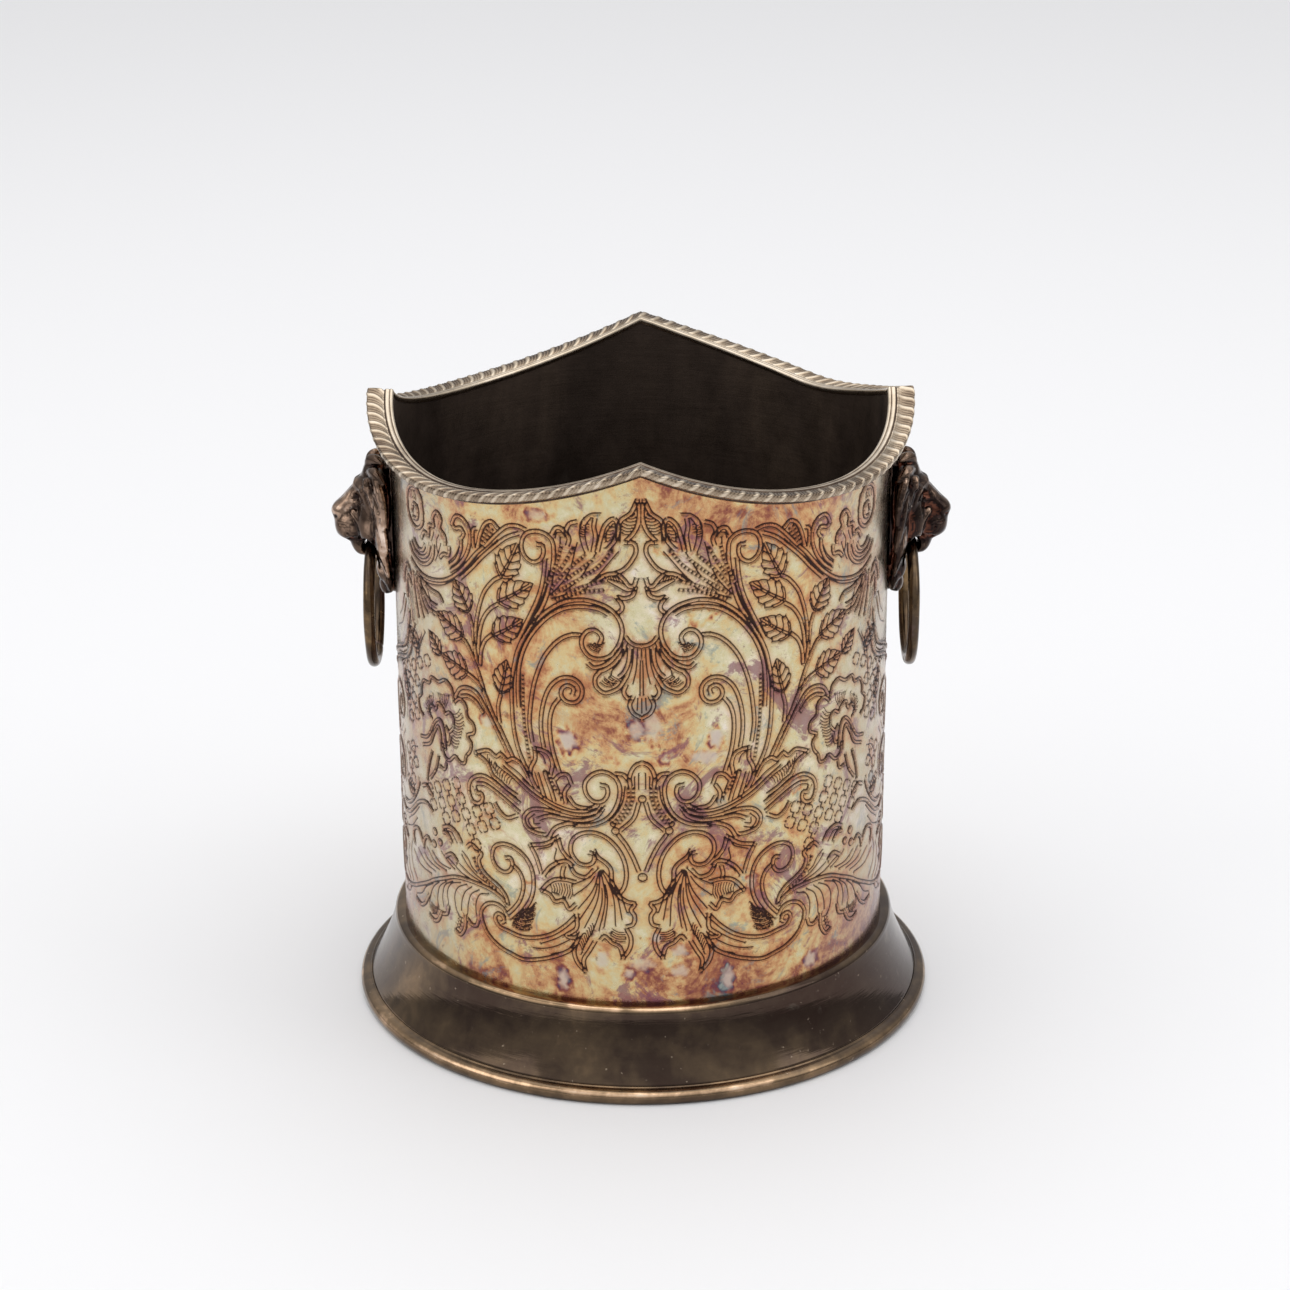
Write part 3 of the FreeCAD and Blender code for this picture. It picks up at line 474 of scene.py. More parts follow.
# closed outlines of the big flower and its heart
FLOWER = [
    [(61.4, 112.8), (59, 114.4), (56.6, 112.8), (56.2, 109.6), (53.7, 107.8), (53.5, 105.2),
     (56.2, 103.6), (54.7, 101.4), (55.3, 98.8), (57, 96.8), (57.8, 94.4), (60, 94.2),
     (62, 95.4), (64.8, 93.2), (67.4, 94.2), (68, 97.6)],
    [(61.8, 112.4), (62.8, 116.6), (65.8, 118.3), (69.2, 116.8), (73.2, 117), (74.6, 114.8),
     (78, 114.4), (79.6, 112), (79.8, 109.6), (81.8, 107.6), (81, 104.4), (78.4, 102.6)],
    [(62.4, 105.2), (62.3, 107.4), (64.2, 108.6), (66.2, 107.6), (67.6, 109.4), (70, 109.8),
     (71, 107.6), (73.2, 108), (74.8, 106), (73.6, 103.6)],
    [(66.4, 96), (66.8, 101), (67.8, 104), (69.6, 104.8), (72, 103), (74.6, 99.2), (77, 96.8),
     (81.2, 95.6)],
    [(68.6, 95.4), (68.8, 100), (70, 102.4), (72.4, 99.6), (75, 95.4), (79.6, 93.4)],
    [(62.6, 104), (64.4, 102.4), (66, 103.6)], [(64, 100.8), (64.6, 98.6), (66, 98.4)],
    [(70.2, 93), (72, 88), (75.4, 84)], [(74, 93), (76, 88.6), (77.4, 83)],
    [(66.2, 92), (67.2, 89.6), (69.6, 89.8)],
]

# small round bosses: centre and radius
CIRCLES = [((0, 91.8), 1.1), ((7.8, 81.6), 1.1), ((0, 67), 1.3), ((70.9, 64.5), 1.15),
           ((73.8, 67), 1.2), ((74.4, 62.8), 1.2), ((8.5, 83.8), 0.8), ((QUARTER, 76), 1.3),
           ((QUARTER, 101), 1.3)]

# trellises: the outline that cuts off each field of rounded cells
TRELLIS_TURN = math.radians(-25)
TRELLIS_PITCH = (5.2, 4.8)
TRELLIS_CELL = 1.75          # half the side of a cell
TRELLISES = [
    [(39.5, 77), (44, 81), (47.5, 84), (50, 82.4), (57.6, 82.4), (58.4, 88.6), (65, 88.2),
     (71, 85.6), (76.4, 80.6), (74, 78), (75, 70.4), (70, 72.4), (64, 73.4), (57.6, 71.2),
     (53, 69), (49.6, 71.4), (46.4, 75), (41, 75.2)],
    [(71.6, 124), (82.6, 125.4), (87.6, 117.4), (96, 114.4), (93, 104), (86, 96), (83.4, 99),
     (83.4, 108), (80, 115.8), (75.6, 118), (71.6, 119.4)],
    [(86, 94), (94, 92), (93, 84), (97, 76), (94, 73), (86, 80), (82, 84)],
]


def curve(points, step=0.12):
    """A smooth line through given points."""
    knots = np.array(points, float)
    if len(knots) == 2:
        knots = np.array([knots[0], (knots[0] + knots[1]) / 2, knots[1]])
    padded = np.vstack([2 * knots[0] - knots[1], knots, 2 * knots[-1] - knots[-2]])
    spans = []
    for index in range(len(knots) - 1):
        a, b, c, d = padded[index:index + 4]
        count = max(2, int(np.hypot(*(c - b)) / step))
        t = np.linspace(0, 1, count, endpoint=False)[:, None]
        spans.append(0.5 * (2 * b + (c - a) * t + (2 * a - 5 * b + 4 * c - d) * t ** 2
                            + (3 * b - a - 3 * c + d) * t ** 3))
    spans.append(knots[-1:])
    return np.vstack(spans)


def beside(line, offset):
    """A line parallel to another, to its left."""
    along = np.gradient(line, axis=0)
    along /= np.maximum(np.hypot(along[:, 0], along[:, 1]), 1e-9)[:, None]
    return line + np.stack([-along[:, 1], along[:, 0]], 1) * offset


def inside(outline, points):
    """Which points lie inside a closed outline."""
    crossings = np.zeros(len(points), int)
    for start, end in zip(outline, np.roll(outline, -1, axis=0)):
        spans = (start[1] > points[:, 1]) != (end[1] > points[:, 1])
        rise = end[1] - start[1] if end[1] != start[1] else 1.0
        reach = start[0] + (end[0] - start[0]) * (points[:, 1] - start[1]) / rise
        crossings += spans & (points[:, 0] < reach)
    return crossings % 2 == 1


def blurred(field, cells):
    """A field softened by running means along both directions."""
    for axis in (0, 1, 0, 1):
        padding = [(0, 0), (0, 0)]
        padding[axis] = (cells, cells)
        total = np.cumsum(np.pad(field, padding, mode="edge"), axis=axis)
        size = field.shape[axis]
        field = np.take(total, range(2 * cells, size + 2 * cells), axis=axis)
        field = (field - np.take(total, range(size), axis=axis)) / (2 * cells)
    return field


class Relief:
    """Collects strokes on the flat quarter, then gives the height and darkness anywhere on it."""
    CELL = 0.1               # side of a cell of the fields that the strokes are stamped in
    STEP = 0.12              # between the points of a stroke
    LOW = WALL_FOOT
    HIGH = 196.0

    def __init__(self):
        self.shape = (int((self.HIGH - self.LOW) / self.CELL) + 2, int(QUARTER / self.CELL) + 2)
        self.cuts = []
        self.raises = []
        self.pearls = []
        self.lines = []
        self.edges = []

    def stamp(self, strokes, sharpness):
        """One field with all the strokes in it, each a list of points and half-widths."""
        field = np.zeros(self.shape)
        path = np.vstack([line for line, half in strokes])
        half = np.hstack([np.broadcast_to(half, len(line)) for line, half in strokes])
        place = (path - [0, self.LOW]) / self.CELL
        corner = np.round(place).astype(int)
        reach = int(half.max() / self.CELL) + 2
        for across in range(-reach, reach + 1):
            for up in range(-reach, reach + 1):
                column = corner[:, 0] + across
                row = corner[:, 1] + up
                gap = np.hypot(column - place[:, 0], row - place[:, 1]) * self.CELL
                value = np.clip((1 - gap / half) * sharpness, 0, 1)
                keep = (value > 0) & (column >= 0) & (column < self.shape[1])
                keep &= (row >= 0) & (row < self.shape[0])
                np.maximum.at(field, (row[keep], column[keep]), value[keep])
        return field

    def line(self, points, half=LINE):
        """One engraved line, thinner at its ends."""
        path = points if isinstance(points, np.ndarray) else curve(points, self.STEP)
        walked = np.arange(len(path)) / max(len(path) - 1, 1)
        width = half * np.clip(0.6 + 5.0 * np.minimum(walked, 1 - walked), 0, 1)
        self.cuts.append((path, width))
        self.lines.append(path[::4])
        for side in (-1, 1):
            self.edges.append(beside(path, side * (half * 1.1 + 0.02))[2::5])

    def band(self, points, gap=BAND):
        """A raised strip between two engraved lines."""
        path = curve(points, self.STEP)
        self.raises.append((path, gap * 0.62))
        self.edges.append(path[::8])
        for side in (-1, 1):
            self.line(beside(path, side * gap / 2))

    def beads(self, points):
        path = curve(points, self.STEP)
        every = int(BEAD_PITCH / self.STEP)
        centres = path[every // 2::every]
        self.cuts.append((path, BEAD * 1.8))
        self.pearls.append((centres, BEAD * 1.35))
        self.lines.insert(0, centres)
        for side in (-1, 1):
            self.lines.append(beside(path, side * BEAD * 1.1)[::4])
            self.edges.append(beside(path, side * BEAD * 2.1)[::8])
        self.lines.append(path[::every])

    def hatch(self, edge_a, edge_b, count, half=FINE):
        first = curve(edge_a)
        second = curve(edge_b)
        for share in (np.arange(count) + 0.5) / count:
            start = first[int(share * (len(first) - 1))]
            end = second[int(share * (len(second) - 1))]
            bow = (start + end) / 2 + (end - start)[::-1] * [0.12, -0.12]
            self.line(curve([start, bow, end]), half)

    def leaf(self, base, tip, width, teeth=4):
        """A serrated leaf with a midrib band and curved veins."""
        base = np.array(base, float)
        axis = np.array(tip, float) - base
        length = np.hypot(*axis)
        along = axis / length
        across = np.array([-along[1], along[0]])
        share = np.linspace(0, 1, 40)
        belly = np.sin(math.pi * share ** 0.72) ** 0.85 * width * 0.47
        saw = 0.9 + 0.24 * ((share * (teeth + 1)) % 1) * np.sin(math.pi * share)
        for side in (-1, 1):
            outline = (base + along * (share * length)[:, None]
                       + across * (side * belly * saw)[:, None])
            self.line(curve(outline))
            for tooth in range(teeth):
                start = 0.06 + 0.8 * tooth / teeth
                reach = np.interp(start + 0.17, share, belly) * 0.84
                root = base + along * start * length
                end = base + along * (start + 0.19) * length + across * side * reach
                middle = (root + end) / 2 - along * 0.45
                self.line(curve([root, middle, end]))
        self.band([base, base + axis * 0.45 + across * 0.25, base + axis * 0.93], 0.75)

    def circle(self, centre, radius):
        turn = np.radians(np.linspace(0, 360, 61))
        ring = np.array(centre) + radius * np.stack([np.cos(turn), np.sin(turn)], 1)
        self.raises.append((np.array([centre], float), radius))
        self.line(ring)

    def trellis(self, outline):
        """Rounded square cells, cut off by an outline."""
        outline = np.array(outline, float)
        middle = outline.mean(0)
        axes = np.array([[math.cos(TRELLIS_TURN), math.sin(TRELLIS_TURN)],
                         [-math.sin(TRELLIS_TURN), math.cos(TRELLIS_TURN)]])
        turn = np.linspace(0, 2 * math.pi, 81)
        square = np.stack([np.sign(np.cos(turn)) * np.abs(np.cos(turn)) ** 0.5,
                           np.sign(np.sin(turn)) * np.abs(np.sin(turn)) ** 0.5], 1)
        steps = np.stack(np.meshgrid(range(-7, 8), range(-7, 8)), -1).reshape(-1, 2)
        centres = middle + (steps * TRELLIS_PITCH) @ axes
        for centre in centres[inside(outline, centres)]:
            self.line(centre + (square * TRELLIS_CELL) @ axes)

    def settle(self):
        """Works the strokes into the height, the darkness and the nearness of ornament."""
        pearl = self.stamp(self.pearls, 2.2)
        self.cut = self.stamp(self.cuts, 1.7) * (1 - pearl)
        self.up = np.maximum(self.stamp(self.raises, 2.4), pearl)
        self.near = np.clip(blurred(self.cut, 9) * 1.9, 0, 1)

    def sample(self, points):
        place = (points - [0, self.LOW]) / self.CELL
        column = np.clip(np.round(place[:, 0]).astype(int), 0, self.shape[1] - 1)
        row = np.clip(np.round(place[:, 1]).astype(int), 0, self.shape[0] - 1)
        cut = self.cut[row, column]
        near = self.near[row, column]
        height = RAISED_HEIGHT * self.up[row, column] * (1 - cut) - ENGRAVED_DEPTH * cut
        return height + SWELL * near, cut, near


def draw_ornament():
    relief = Relief()
    for points in BANDS:
        relief.band(points)
    for points in FLOWER:
        relief.band(points, 0.95)
    for points in LINES:
        relief.line(points)
    for base, tip, width in LEAVES:
        relief.leaf(base, tip, width)
    for edge_a, edge_b, count in HATCHED:
        relief.hatch(edge_a, edge_b, count)
    for centre, radius in CIRCLES:
        relief.circle(centre, radius)
    for outline in TRELLISES:
        relief.trellis(outline)
    for root, ends, bow in RIBS:
        for number, end in enumerate(ends):
            chord = np.array(end) - root
            middle = np.array(root) + chord * 0.5 + np.array([-chord[1], chord[0]]) * bow
            rib = curve([root, middle, end])
            # every other rib starts further out, as there is no room for all at the root
            relief.line(rib[len(rib) * (1 + 2 * (number % 2)) // 10:])
    for points in BEADED:
        relief.beads(points)
    relief.settle()
    return relief


# ---- materials ----------------------------------------------------------------------------------
# Silver tarnishes through straw, amber, rust, violet and blue-grey as its film thickens. Each ramp
# is read at the film's thickness, which grows in the engraving and near the edges. On the foot and
# its wire the thickness also carries a painted highlight, and on the masks a painted highlight on
# the highs and painted shade in the hollows.
WALL_FILM = [(0.00, (232, 222, 210)), (0.14, (224, 213, 184)), (0.28, (208, 199, 160)),
             (0.40, (212, 187, 136)), (0.51, (200, 152, 108)), (0.61, (154, 98, 76)),
             (0.70, (122, 68, 72)), (0.80, (92, 70, 86)), (0.90, (100, 106, 112)),
             (1.00, (146, 152, 146))]
# the lightest stops of this ramp are mostly reached at the painted highlight on the foot's shoulder
# and wire
FOOT_FILM_AND_HIGHLIGHT = [(0.0, (250, 226, 200)), (0.14, (222, 186, 152)), (0.3, (140, 116, 90)),
             (0.5, (100, 84, 68)), (0.7, (74, 61, 53)), (0.88, (66, 52, 46)),
             (1.0, (112, 102, 92))]
INSIDE_FILM = [(0.0, (140, 121, 105)), (0.35, (108, 93, 82)), (0.6, (93, 80, 72)),
               (0.85, (80, 69, 62)), (1.0, (120, 110, 101))]
RIM_FILM = [(0.0, (232, 220, 206)), (0.3, (206, 190, 168)), (0.55, (150, 132, 112)),
            (0.8, (92, 76, 64)), (1.0, (58, 46, 42))]
# the lightest stops serve as a painted highlight on the mask's highs and the dark ones as painted
# shade in its hollows, over the tarnish there
MASK_FILM_AND_SHADING = [(0.0, (240, 220, 204)), (0.12, (172, 144, 124)), (0.24, (98, 80, 68)),
             (0.45, (62, 50, 44)), (0.8, (34, 27, 27)), (1.0, (92, 58, 46))]
RING_FILM = [(0.0, (206, 176, 132)), (0.3, (150, 122, 86)), (0.55, (102, 84, 64)),
             (0.8, (76, 64, 54)), (1.0, (98, 80, 74))]
BRASS_FILM = [(0.0, (206, 176, 112)), (0.45, (160, 130, 78)), (0.75, (108, 86, 54)),
              (1.0, (70, 56, 42))]


def linear(colour):
    """A screen colour from 0 to 255 as linear light."""
    shares = [channel / 255 for channel in colour]
    return [s / 12.92 if s < 0.04045 else ((s + 0.055) / 1.055) ** 2.4 for s in shares] + [1]


class Film:
    """Node helpers for one tarnished metal."""

    def __init__(self, name):
        self.material = bpy.data.materials.new(name)
        self.material.use_nodes = True
        self.tree = self.material.node_tree
        self.shader = self.tree.nodes["Principled BSDF"]
        self.shader.inputs["Metallic"].default_value = 1.0
        self.place = self.tree.nodes.new("ShaderNodeTexCoord").outputs["Object"]

    def feed(self, socket, value):
        if isinstance(value, (int, float)):
            socket.default_value = value
        else:
            self.tree.links.new(value, socket)

    def maths(self, operation, first, second=0.0, clamp=False):
        node = self.tree.nodes.new("ShaderNodeMath")
        node.operation = operation
        node.use_clamp = clamp
        self.feed(node.inputs[0], first)
        self.feed(node.inputs[1], second)
        return node.outputs[0]

    def stretched(self, scale):
        node = self.tree.nodes.new("ShaderNodeMapping")
        node.inputs["Scale"].default_value = scale
        self.tree.links.new(self.place, node.inputs["Vector"])
        return node.outputs[0]

    def noise(self, scale, detail=3.0, roughness=0.55, distortion=0.0, place=None):
        node = self.tree.nodes.new("ShaderNodeTexNoise")
        node.inputs["Scale"].default_value = scale
        node.inputs["Detail"].default_value = detail
        node.inputs["Roughness"].default_value = roughness
        node.inputs["Distortion"].default_value = distortion
        self.tree.links.new(place or self.place, node.inputs["Vector"])
        return node.outputs["Fac"]

    def value(self, name):
        node = self.tree.nodes.new("ShaderNodeAttribute")
        node.attribute_name = name
        return node.outputs["Fac"]

    def remap(self, value, low, high, to_low=0.0, to_high=1.0):
        node = self.tree.nodes.new("ShaderNodeMapRange")
        self.feed(node.inputs["Value"], value)
        for key, number in (("From Min", low), ("From Max", high),
                            ("To Min", to_low), ("To Max", to_high)):
            node.inputs[key].default_value = number
        return node.outputs[0]

    def ramp(self, thickness, stops):
        node = self.tree.nodes.new("ShaderNodeValToRGB")
        ramp = node.color_ramp
        for index, (place, colour) in enumerate(stops):
            stop = ramp.elements[index] if index < 2 else ramp.elements.new(place)
            stop.position = place
            stop.color = linear(colour)
        self.feed(node.inputs["Fac"], thickness)
        return node.outputs["Color"]

    def mix(self, share, first, second):
        node = self.tree.nodes.new("ShaderNodeMix")
        node.data_type = "RGBA"
        self.feed(node.inputs[0], share)
        for socket, colour in ((node.inputs[6], first), (node.inputs[7], second)):
            if isinstance(colour, tuple):
                socket.default_value = linear(colour)
            else:
                self.tree.links.new(colour, socket)
        return node.outputs[2]

    def bump(self, height, distance):
        node = self.tree.nodes.new("ShaderNodeBump")
        node.inputs["Strength"].default_value = 1.0
        node.inputs["Distance"].default_value = distance
        self.tree.links.new(height, node.inputs["Height"])
        self.tree.links.new(node.outputs[0], self.shader.inputs["Normal"])


def tarnished(name, stops, film, patch, mottle, rough, sizes=(22.0, 130.0), value=None, reach=0.6):
    """A plain tarnished metal: film thickness, patches, fine mottling and scratches."""
    metal = Film(name)
    large = metal.remap(metal.noise(sizes[0], 4.0, 0.6, 0.6), 0.3, 0.7, -patch, patch)
    small = metal.remap(metal.noise(sizes[1], 5.0, 0.65, 0.3), 0.3, 0.7, -mottle, mottle)
    thickness = metal.maths("ADD", metal.maths("ADD", large, small), film)
    if value:
        grown = metal.maths("MULTIPLY", metal.value(value), reach)
        thickness = metal.maths("ADD", thickness, grown)
    specks = metal.remap(metal.noise(520.0, 2.0), 0.70, 0.76)
    colour = metal.ramp(metal.maths("ADD", thickness, 0.0, True), stops)
    colour = metal.mix(metal.maths("MULTIPLY", specks, 0.25), colour, stops[0][1])
    metal.tree.links.new(colour, metal.shader.inputs["Base Color"])
    scratch = metal.noise(900.0, 3.0, 0.6, 0.0, metal.stretched((0.06, 0.06, 1.0)))
    spread = metal.remap(metal.noise(70.0, 4.0, 0.6), 0.3, 0.7, -0.06, 0.08)
    surface = metal.maths("ADD", metal.maths("MULTIPLY", specks, 0.2), spread)
    metal.tree.links.new(metal.maths("ADD", surface, rough, True),
                         metal.shader.inputs["Roughness"])
    dents = metal.noise(60.0, 2.0)
    metal.bump(metal.maths("ADD", metal.maths("MULTIPLY", dents, 0.5), scratch), 0.00003)
    return metal.material


def wall_silver():
    """Outside of the wall: bright straw film, darker in the engraving and at both edges."""
    metal = Film("engraved_wall_silver")
    split = metal.tree.nodes.new("ShaderNodeSeparateXYZ")
    metal.tree.links.new(metal.place, split.inputs[0])
    across, height = split.outputs[0], split.outputs[2]
    engraved = metal.remap(metal.value("groove"), 0.18, 0.85)
    near = metal.value("near")
    large = metal.remap(metal.noise(15.0, 5.0, 0.66, 1.0), 0.34, 0.66, -0.17, 0.18)
    middle = metal.remap(metal.noise(58.0, 6.0, 0.72, 0.9), 0.32, 0.68, -0.17, 0.19)
    small = metal.remap(metal.noise(320.0, 4.0, 0.7), 0.3, 0.7, -0.09, 0.10)
    film = metal.maths("ADD", metal.maths("ADD", large, middle), small)
    low = metal.remap(height, WALL_FOOT * MM, (WALL_FOOT + 26) * MM, 0.22, 0.0)
    high = metal.remap(height, 0.160, 0.184, 0.0, 0.24)
    for part in (low, high, metal.maths("MULTIPLY", near, 0.07),
                 metal.maths("MULTIPLY", engraved, 0.12),
                 metal.maths("MULTIPLY", metal.value("ring"), 0.42), 0.28):
        film = metal.maths("ADD", film, part)
    colour = metal.ramp(metal.maths("ADD", film, 0.0, True), WALL_FILM)
    rust = metal.remap(metal.noise(31.0, 7.0, 0.74, 1.6), 0.555, 0.62)
    rust = metal.maths("MULTIPLY", rust, metal.remap(near, 0.0, 0.5, 0.3, 0.75))
    colour = metal.mix(rust, colour, (172, 112, 80))
    colour = metal.mix(metal.maths("MULTIPLY", near, 0.72), colour, (192, 126, 80))
    stain = metal.noise(40.0, 6.0, 0.78, 1.4)
    violet = metal.maths("MULTIPLY", metal.remap(stain, 0.535, 0.60), 0.75)
    colour = metal.mix(violet, colour, (132, 86, 100))
    blue = metal.maths("MULTIPLY", metal.remap(stain, 0.42, 0.35), 0.65)
    colour = metal.mix(blue, colour, (126, 142, 142))
    # painted reflection: towards the wall's left and right sides, by X, the colour is turned
    # silver-grey, as the metal there would mirror the room at a grazing angle
    side_reflection = metal.remap(metal.maths("ABSOLUTE", across), 0.048, 0.0745, 0.0, 0.6)
    colour = metal.mix(side_reflection, colour, (172, 158, 156))
    brightened = metal.remap(metal.noise(44.0, 7.0, 0.84, 0.8), 0.64, 0.68)
    bare = metal.maths("MAXIMUM", metal.maths("MULTIPLY", brightened, 0.6), metal.value("bare"), True)
    colour = metal.mix(bare, colour, (206, 190, 178))
    specks = metal.remap(metal.noise(260.0, 3.0, 0.7), 0.66, 0.72)
    colour = metal.mix(metal.maths("MULTIPLY", specks, 0.55), colour, (104, 70, 58))
    colour = metal.mix(metal.maths("MULTIPLY", engraved, 0.95), colour, (40, 31, 32))
    inner = metal.ramp(metal.remap(metal.noise(26.0, 5.0, 0.6, 0.5, metal.stretched(
        (1.0, 1.0, 0.3))), 0.25, 0.75), INSIDE_FILM)
    colour = metal.mix(metal.value("inside"), colour, inner)
    metal.tree.links.new(colour, metal.shader.inputs["Base Color"])
    spread = metal.remap(metal.noise(120.0, 5.0, 0.7), 0.3, 0.7, -0.05, 0.08)
    surface = metal.maths("ADD", spread, metal.maths("MULTIPLY", bare, 0.2))
    surface = metal.maths("ADD", surface, metal.maths("MULTIPLY", engraved, 0.1))
    surface = metal.maths("ADD", surface, metal.maths("MULTIPLY", metal.value("inside"), 0.26))
    metal.tree.links.new(metal.maths("ADD", surface, 0.24, True),
                         metal.shader.inputs["Roughness"])
    scratch = metal.noise(700.0, 3.0, 0.65, 0.0, metal.stretched((0.08, 0.08, 1.0)))
    pits = metal.noise(420.0, 3.0, 0.6)
    metal.bump(metal.maths("ADD", scratch, metal.maths("MULTIPLY", pits, 0.8)), 0.00005)
    return metal.material


# ---- wall ---------------------------------------------------------------------------------------
COLUMNS = 130                # stations across a quarter, shared by the outer and inner skins
TOP_BLEND = 164.0            # above this height the ornament's mesh stretches to the wavy edge
INNER_ROWS = np.array([0, 0.004, 0.16, 0.32, 0.48, 0.64, 0.8, 0.93, 0.996, 1])
SIDE_POINTS = 330            # points up each side of a quarter, where its mirror image joins on
PLAIN_PITCH = 1.1            # between the mesh points of plain ground
PLAIN_JITTER = 0.2
CLOSEST = 0.27               # mesh points nearer to each other than this are thinned out
# stains worn through the tarnish on the front: place across and up from the front centre line,
# half sizes, how bare the middle is and how dark the ring round it is
SPOTS = [(21.5, 109.5, 2.1, 3.0, 0.9, 1.0), (-21.8, 108.6, 2.4, 3.1, 0.9, 1.0),
         (3, 114.5, 2.7, 4.6, 0.55, 0.5), (-1.5, 113.6, 2.2, 3.0, 0.6, 0.7),
         (25.5, 32, 1.8, 3.6, 0.8, 0.9), (6.5, 104, 1.4, 1.6, 0.3, 0.8),
         (55, 31, 2.6, 2.6, 0.7, 0.6), (11, 43, 2.4, 1.8, 0.6, 0.3), (11, 36.5, 3, 1.6, 0.6, 0.3),
         (-4, 36, 1.5, 1.7, 0.7, 0.7), (0, 39, 3.6, 2.2, 0.45, 0.3), (17, 147, 3, 2.4, 0.0, 0.9),
         (18.5, 104, 4.5, 2.2, 0.75, 0.3), (-24, 32.5, 1.6, 3.2, 0.8, 0.8),
         (-12, 40, 2.0, 3.4, 0.6, 0.4), (4, 47.5, 2.0, 1.6, 0.7, 0.5), (-34, 60, 2, 2, 0.3, 0.7),
         (33, 62, 1.6, 2.4, 0.4, 0.8), (-48, 110, 2.6, 2.2, 0.35, 0.6), (48, 90, 2, 2.6, 0.4, 0.7),
         (8, 168, 3, 2, 0.2, 0.8), (-30, 176, 3.4, 1.6, 0.4, 0.7), (-62, 128, 2, 3, 0.4, 0.6)]


def quarter_skin(relief):
    """Points of one quarter's outer skin, across and up, and its triangles."""
    across = np.linspace(0, QUARTER, COLUMNS + 1)
    top = edge_height(across / QUARTER * 90)
    rims = [np.stack([across, np.full_like(across, WALL_FOOT)], 1), np.stack([across, top], 1)]
    for end in (0, QUARTER):
        rows = np.linspace(WALL_FOOT, top[0] if end == 0 else top[-1], SIDE_POINTS)[1:-1]
        rims.append(np.stack([np.full_like(rows, end), rows], 1))
    rims = np.vstack(rims)
    steps = np.arange(0.6, 165, PLAIN_PITCH)
    field = np.stack(np.meshgrid(steps[steps < QUARTER], steps + WALL_FOOT), -1)
    field[1::2, :, 0] += PLAIN_PITCH / 2
    jitter = random.uniform(-PLAIN_JITTER, PLAIN_JITTER, (field.size // 2, 2))
    field = field.reshape(-1, 2) + jitter
    strokes = np.vstack(relief.lines)
    edges = np.vstack(relief.edges)
    free = np.vstack([strokes, edges, field])
    kind = np.repeat([0, 1, 2], [len(strokes), len(edges), len(field)])
    ceiling = edge_height(free[:, 0] / QUARTER * 90)
    keep = (free[:, 0] > 0.25) & (free[:, 0] < QUARTER - 0.25)
    keep &= (free[:, 1] > WALL_FOOT + 0.3) & (free[:, 1] < ceiling - 0.3)
    _, cut, near = relief.sample(free)
    keep &= (kind < 2) | (near < 0.5)
    free = free[keep]
    for shift in (0.0, 0.5):
        cell = np.floor(free / CLOSEST + shift).astype(int)
        _, first = np.unique(cell[:, 0] * 10000 + cell[:, 1], return_index=True)
        free = free[np.sort(first)]
    points = np.vstack([rims, free])
    flat = [Vector(point) for point in points]
    result = delaunay_2d_cdt(flat, [], [], 0, 1e-6, False)
    points = np.array([tuple(point) for point in result[0]])
    faces = np.array(result[2])
    middle = points[faces].mean(1)
    low = middle[:, 1] < edge_height(middle[:, 0] / QUARTER * 90) + 0.02
    return points, faces[low]


def unrolled_map(piece, inside_faces):
    """A flat map for the wall: outer skin in the upper half, inner skin in the lower."""
    mesh = piece.data
    layer = mesh.uv_layers.new(name="OFBake")
    place = np.empty(len(mesh.vertices) * 3)
    mesh.vertices.foreach_get("co", place)
    place = place.reshape(-1, 3) / MM
    corner = np.empty(len(mesh.loops), dtype=int)
    mesh.loops.foreach_get("vertex_index", corner)
    size = np.empty(len(mesh.polygons), dtype=int)
    mesh.polygons.foreach_get("loop_total", size)
    owner = np.repeat(np.arange(len(size)), size)
    angle = np.arctan2(place[:, 0], -place[:, 1])[corner]
    start = np.cumsum(size) - size
    first = angle[start][owner]
    angle = first + (angle - first + math.pi) % (2 * math.pi) - math.pi
    inner = inside_faces[owner]
    flat = np.stack([0.5 + angle / (2 * math.pi) * 0.97,
                     (place[corner, 2] - WALL_FOOT) / 175 * 0.48 + np.where(inner, 0.005, 0.51)], 1)
    layer.data.foreach_set("uv", flat.astype(np.float32).ravel())


